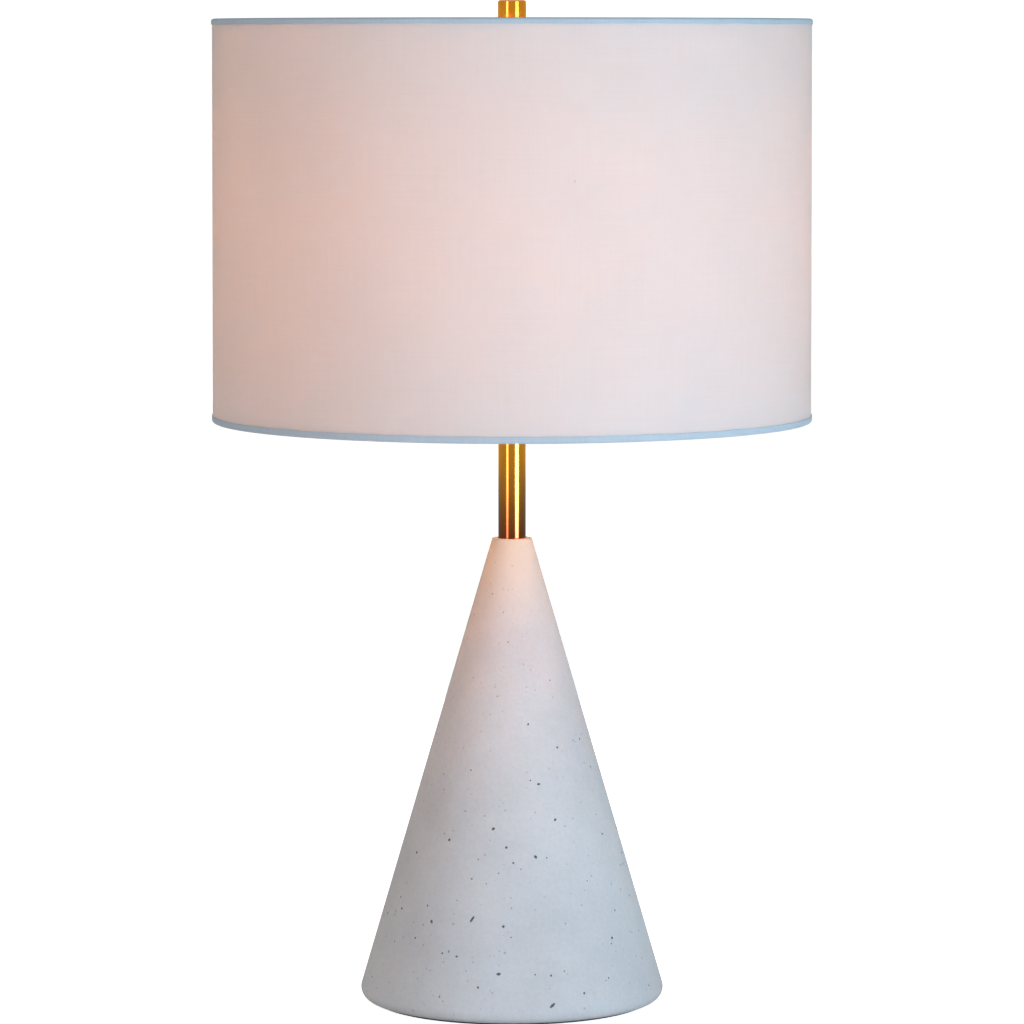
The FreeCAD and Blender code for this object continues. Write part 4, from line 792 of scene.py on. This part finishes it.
def make_hem(node, name, up, slits):
    """A tape folded over a ring. Up is 1 for the top ring and -1 for the bottom one."""
    low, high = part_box(node)
    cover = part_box("shade_cover")[1].y
    radius = cover - (SHADE_TAPER if up > 0 else 0)
    edge = high.z if up > 0 else low.z
    half_slit = SLIT / 2 / radius
    seam_step = SEAM_RAMP / radius / 4
    extra = [a + side * half_slit * k for a in slits for side in (-1, 1) for k in (0.8, 1.0)]
    extra += [SEAM + seam_step * k for k in range(-5, 14)]
    rng = random.Random(HEM_SEED)
    waves = [
        (rng.randint(5, 40), rng.uniform(0, TURN), rng.uniform(0.01, 0.05) * MM)
        for _ in range(HEM_WAVES)
    ]

    def outline_at(angle):
        wander = sum(size * math.sin(turns * angle + start) for turns, start, size in waves)
        lift = seam_lift(angle) * HEM_LIFT
        line = tape_line(radius, edge, up)
        line = [(r + (lift if i < HEM_LIFTED else 0), z) for i, (r, z) in enumerate(line)]
        line[0] = (line[0][0], line[0][1] + wander)
        line[-1] = (line[-1][0], line[-1][1] - wander)
        cut = any(abs((angle - a + math.pi) % TURN - math.pi) < half_slit * 0.9 for a in slits)
        outside, inside = strip(line, HEM_CUT_SHARE if cut else 1.0, CLOTH)
        return outside + inside[::-1] if up < 0 else inside + outside[::-1]

    hem = swept(name, outline_at, even_angles(HEM_STATIONS, extra))
    hem.data.materials.append(hem_tape.material)
    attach(hem, "shade")
    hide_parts(node)
    return hem


make_cone()
make_felt()
cover = make_cover()
hems = [
    make_hem("top_hem", "hem_tape_top", 1, ARM_AZIMUTHS),
    make_hem("bottom_hem", "hem_tape_bottom", -1, ()),
]


# The floor, the light and the camera

FLOOR_RADIUS = 4.2
FLOOR_SIDES = 128
FLOOR_GLOW = 0.9  # added to the floor's white as the camera sees it
PAPER = (1.05, 1.05, 1.05)
CAMERA_PLACE = (0.0, -3.412, 0.6543)
CAMERA_DIP = math.radians(5.33)  # how far down it looks
CAMERA_LENS = 176.8
CAMERA_SENSOR = 36.0
CAMERA_REACH = 100.0


def make_floor():
    bm = bmesh.new()
    bmesh.ops.create_circle(bm, cap_ends=True, segments=FLOOR_SIDES, radius=FLOOR_RADIUS)
    mesh = bpy.data.meshes.new("floor")
    bm.to_mesh(mesh)
    bm.free()
    floor = bpy.data.objects.new("floor", mesh)
    bpy.context.scene.collection.objects.link(floor)
    constants = {"Base Color": (0.8, 0.8, 0.8, 1), "Roughness": 0.9, "Specular IOR Level": 0.1}
    finish = Finish("floor", constants)
    seen = finish.add("LightPath").outputs["Is Camera Ray"]
    glow = finish.maths("MULTIPLY", seen, FLOOR_GLOW)
    finish.drive(Emission_Color=(1, 1, 1, 1), Emission_Strength=glow)
    under = finish.add("NewGeometry").outputs["Backfacing"]
    clear = finish.add("BsdfTransparent").outputs[0]
    finish.show(finish.add("MixShader", {0: under, 1: finish.shader.outputs[0], 2: clear}))
    mesh.materials.append(finish.material)


def make_world(fill, room):
    """White paper behind the lamp, a soft fill on it, and a warm room that its metal reflects."""
    world = bpy.data.worlds.new("studio")
    world.use_nodes = True
    nodes, links = world.node_tree.nodes, world.node_tree.links
    nodes.clear()
    path = nodes.new("ShaderNodeLightPath")
    shown = None
    lights = (
        ("fill", fill, None),
        ("room", room, "Is Glossy Ray"),
        ("paper", PAPER, "Is Camera Ray"),
    )
    for name, colour, ray in lights:
        light = nodes.new("ShaderNodeBackground")
        light.name = name
        light.inputs["Color"].default_value = (*colour, 1)
        if ray is None:
            shown = light
            continue
        mix = nodes.new("ShaderNodeMixShader")
        links.new(path.outputs[ray], mix.inputs[0])
        links.new(shown.outputs[0], mix.inputs[1])
        links.new(light.outputs[0], mix.inputs[2])
        shown = mix
    links.new(shown.outputs[0], nodes.new("ShaderNodeOutputWorld").inputs["Surface"])
    bpy.context.scene.world = world


def softbox(name, azimuth, distance, height, width, tall, colour, power):
    """A rectangle of light that faces the lamp, azimuth degrees round from the front towards +X."""
    turn = math.radians(azimuth)
    light = bpy.data.lights.new(name, "AREA")
    light.shape = "RECTANGLE"
    light.size, light.size_y = width, tall
    light.color = colour
    light.energy = power
    obj = bpy.data.objects.new(name, light)
    obj.location = (distance * math.sin(turn), -distance * math.cos(turn), height)
    obj.rotation_euler = (math.pi / 2, 0, turn)
    obj.visible_camera = False
    bpy.context.scene.collection.objects.link(obj)


def make_camera():
    data = bpy.data.cameras.new("camera")
    data.sensor_width = CAMERA_SENSOR
    data.lens = CAMERA_LENS
    data.clip_end = CAMERA_REACH
    camera = bpy.data.objects.new("camera", data)
    camera.location = CAMERA_PLACE
    camera.rotation_euler = (math.pi / 2 - CAMERA_DIP, 0, 0)
    bpy.context.scene.collection.objects.link(camera)
    bpy.context.scene.camera = camera


make_floor()
make_world((0.18, 0.28, 0.305), (0.56, 0.455, 0.17))
softbox("key", 41, 1.6, 0.36, 0.78, 0.64, (0.643, 0.8145, 1.0), 16.26)
softbox("side", -38.5, 1.6, 0.85, 0.4, 1.6, (1.0, 0.865, 0.93), 7.15)
softbox("back", 180, 1.6, 0.6, 1.2, 1.2, (0.93, 0.96, 1.0), 8.0)
make_camera()
bpy.context.scene.view_settings.view_transform = "Standard"
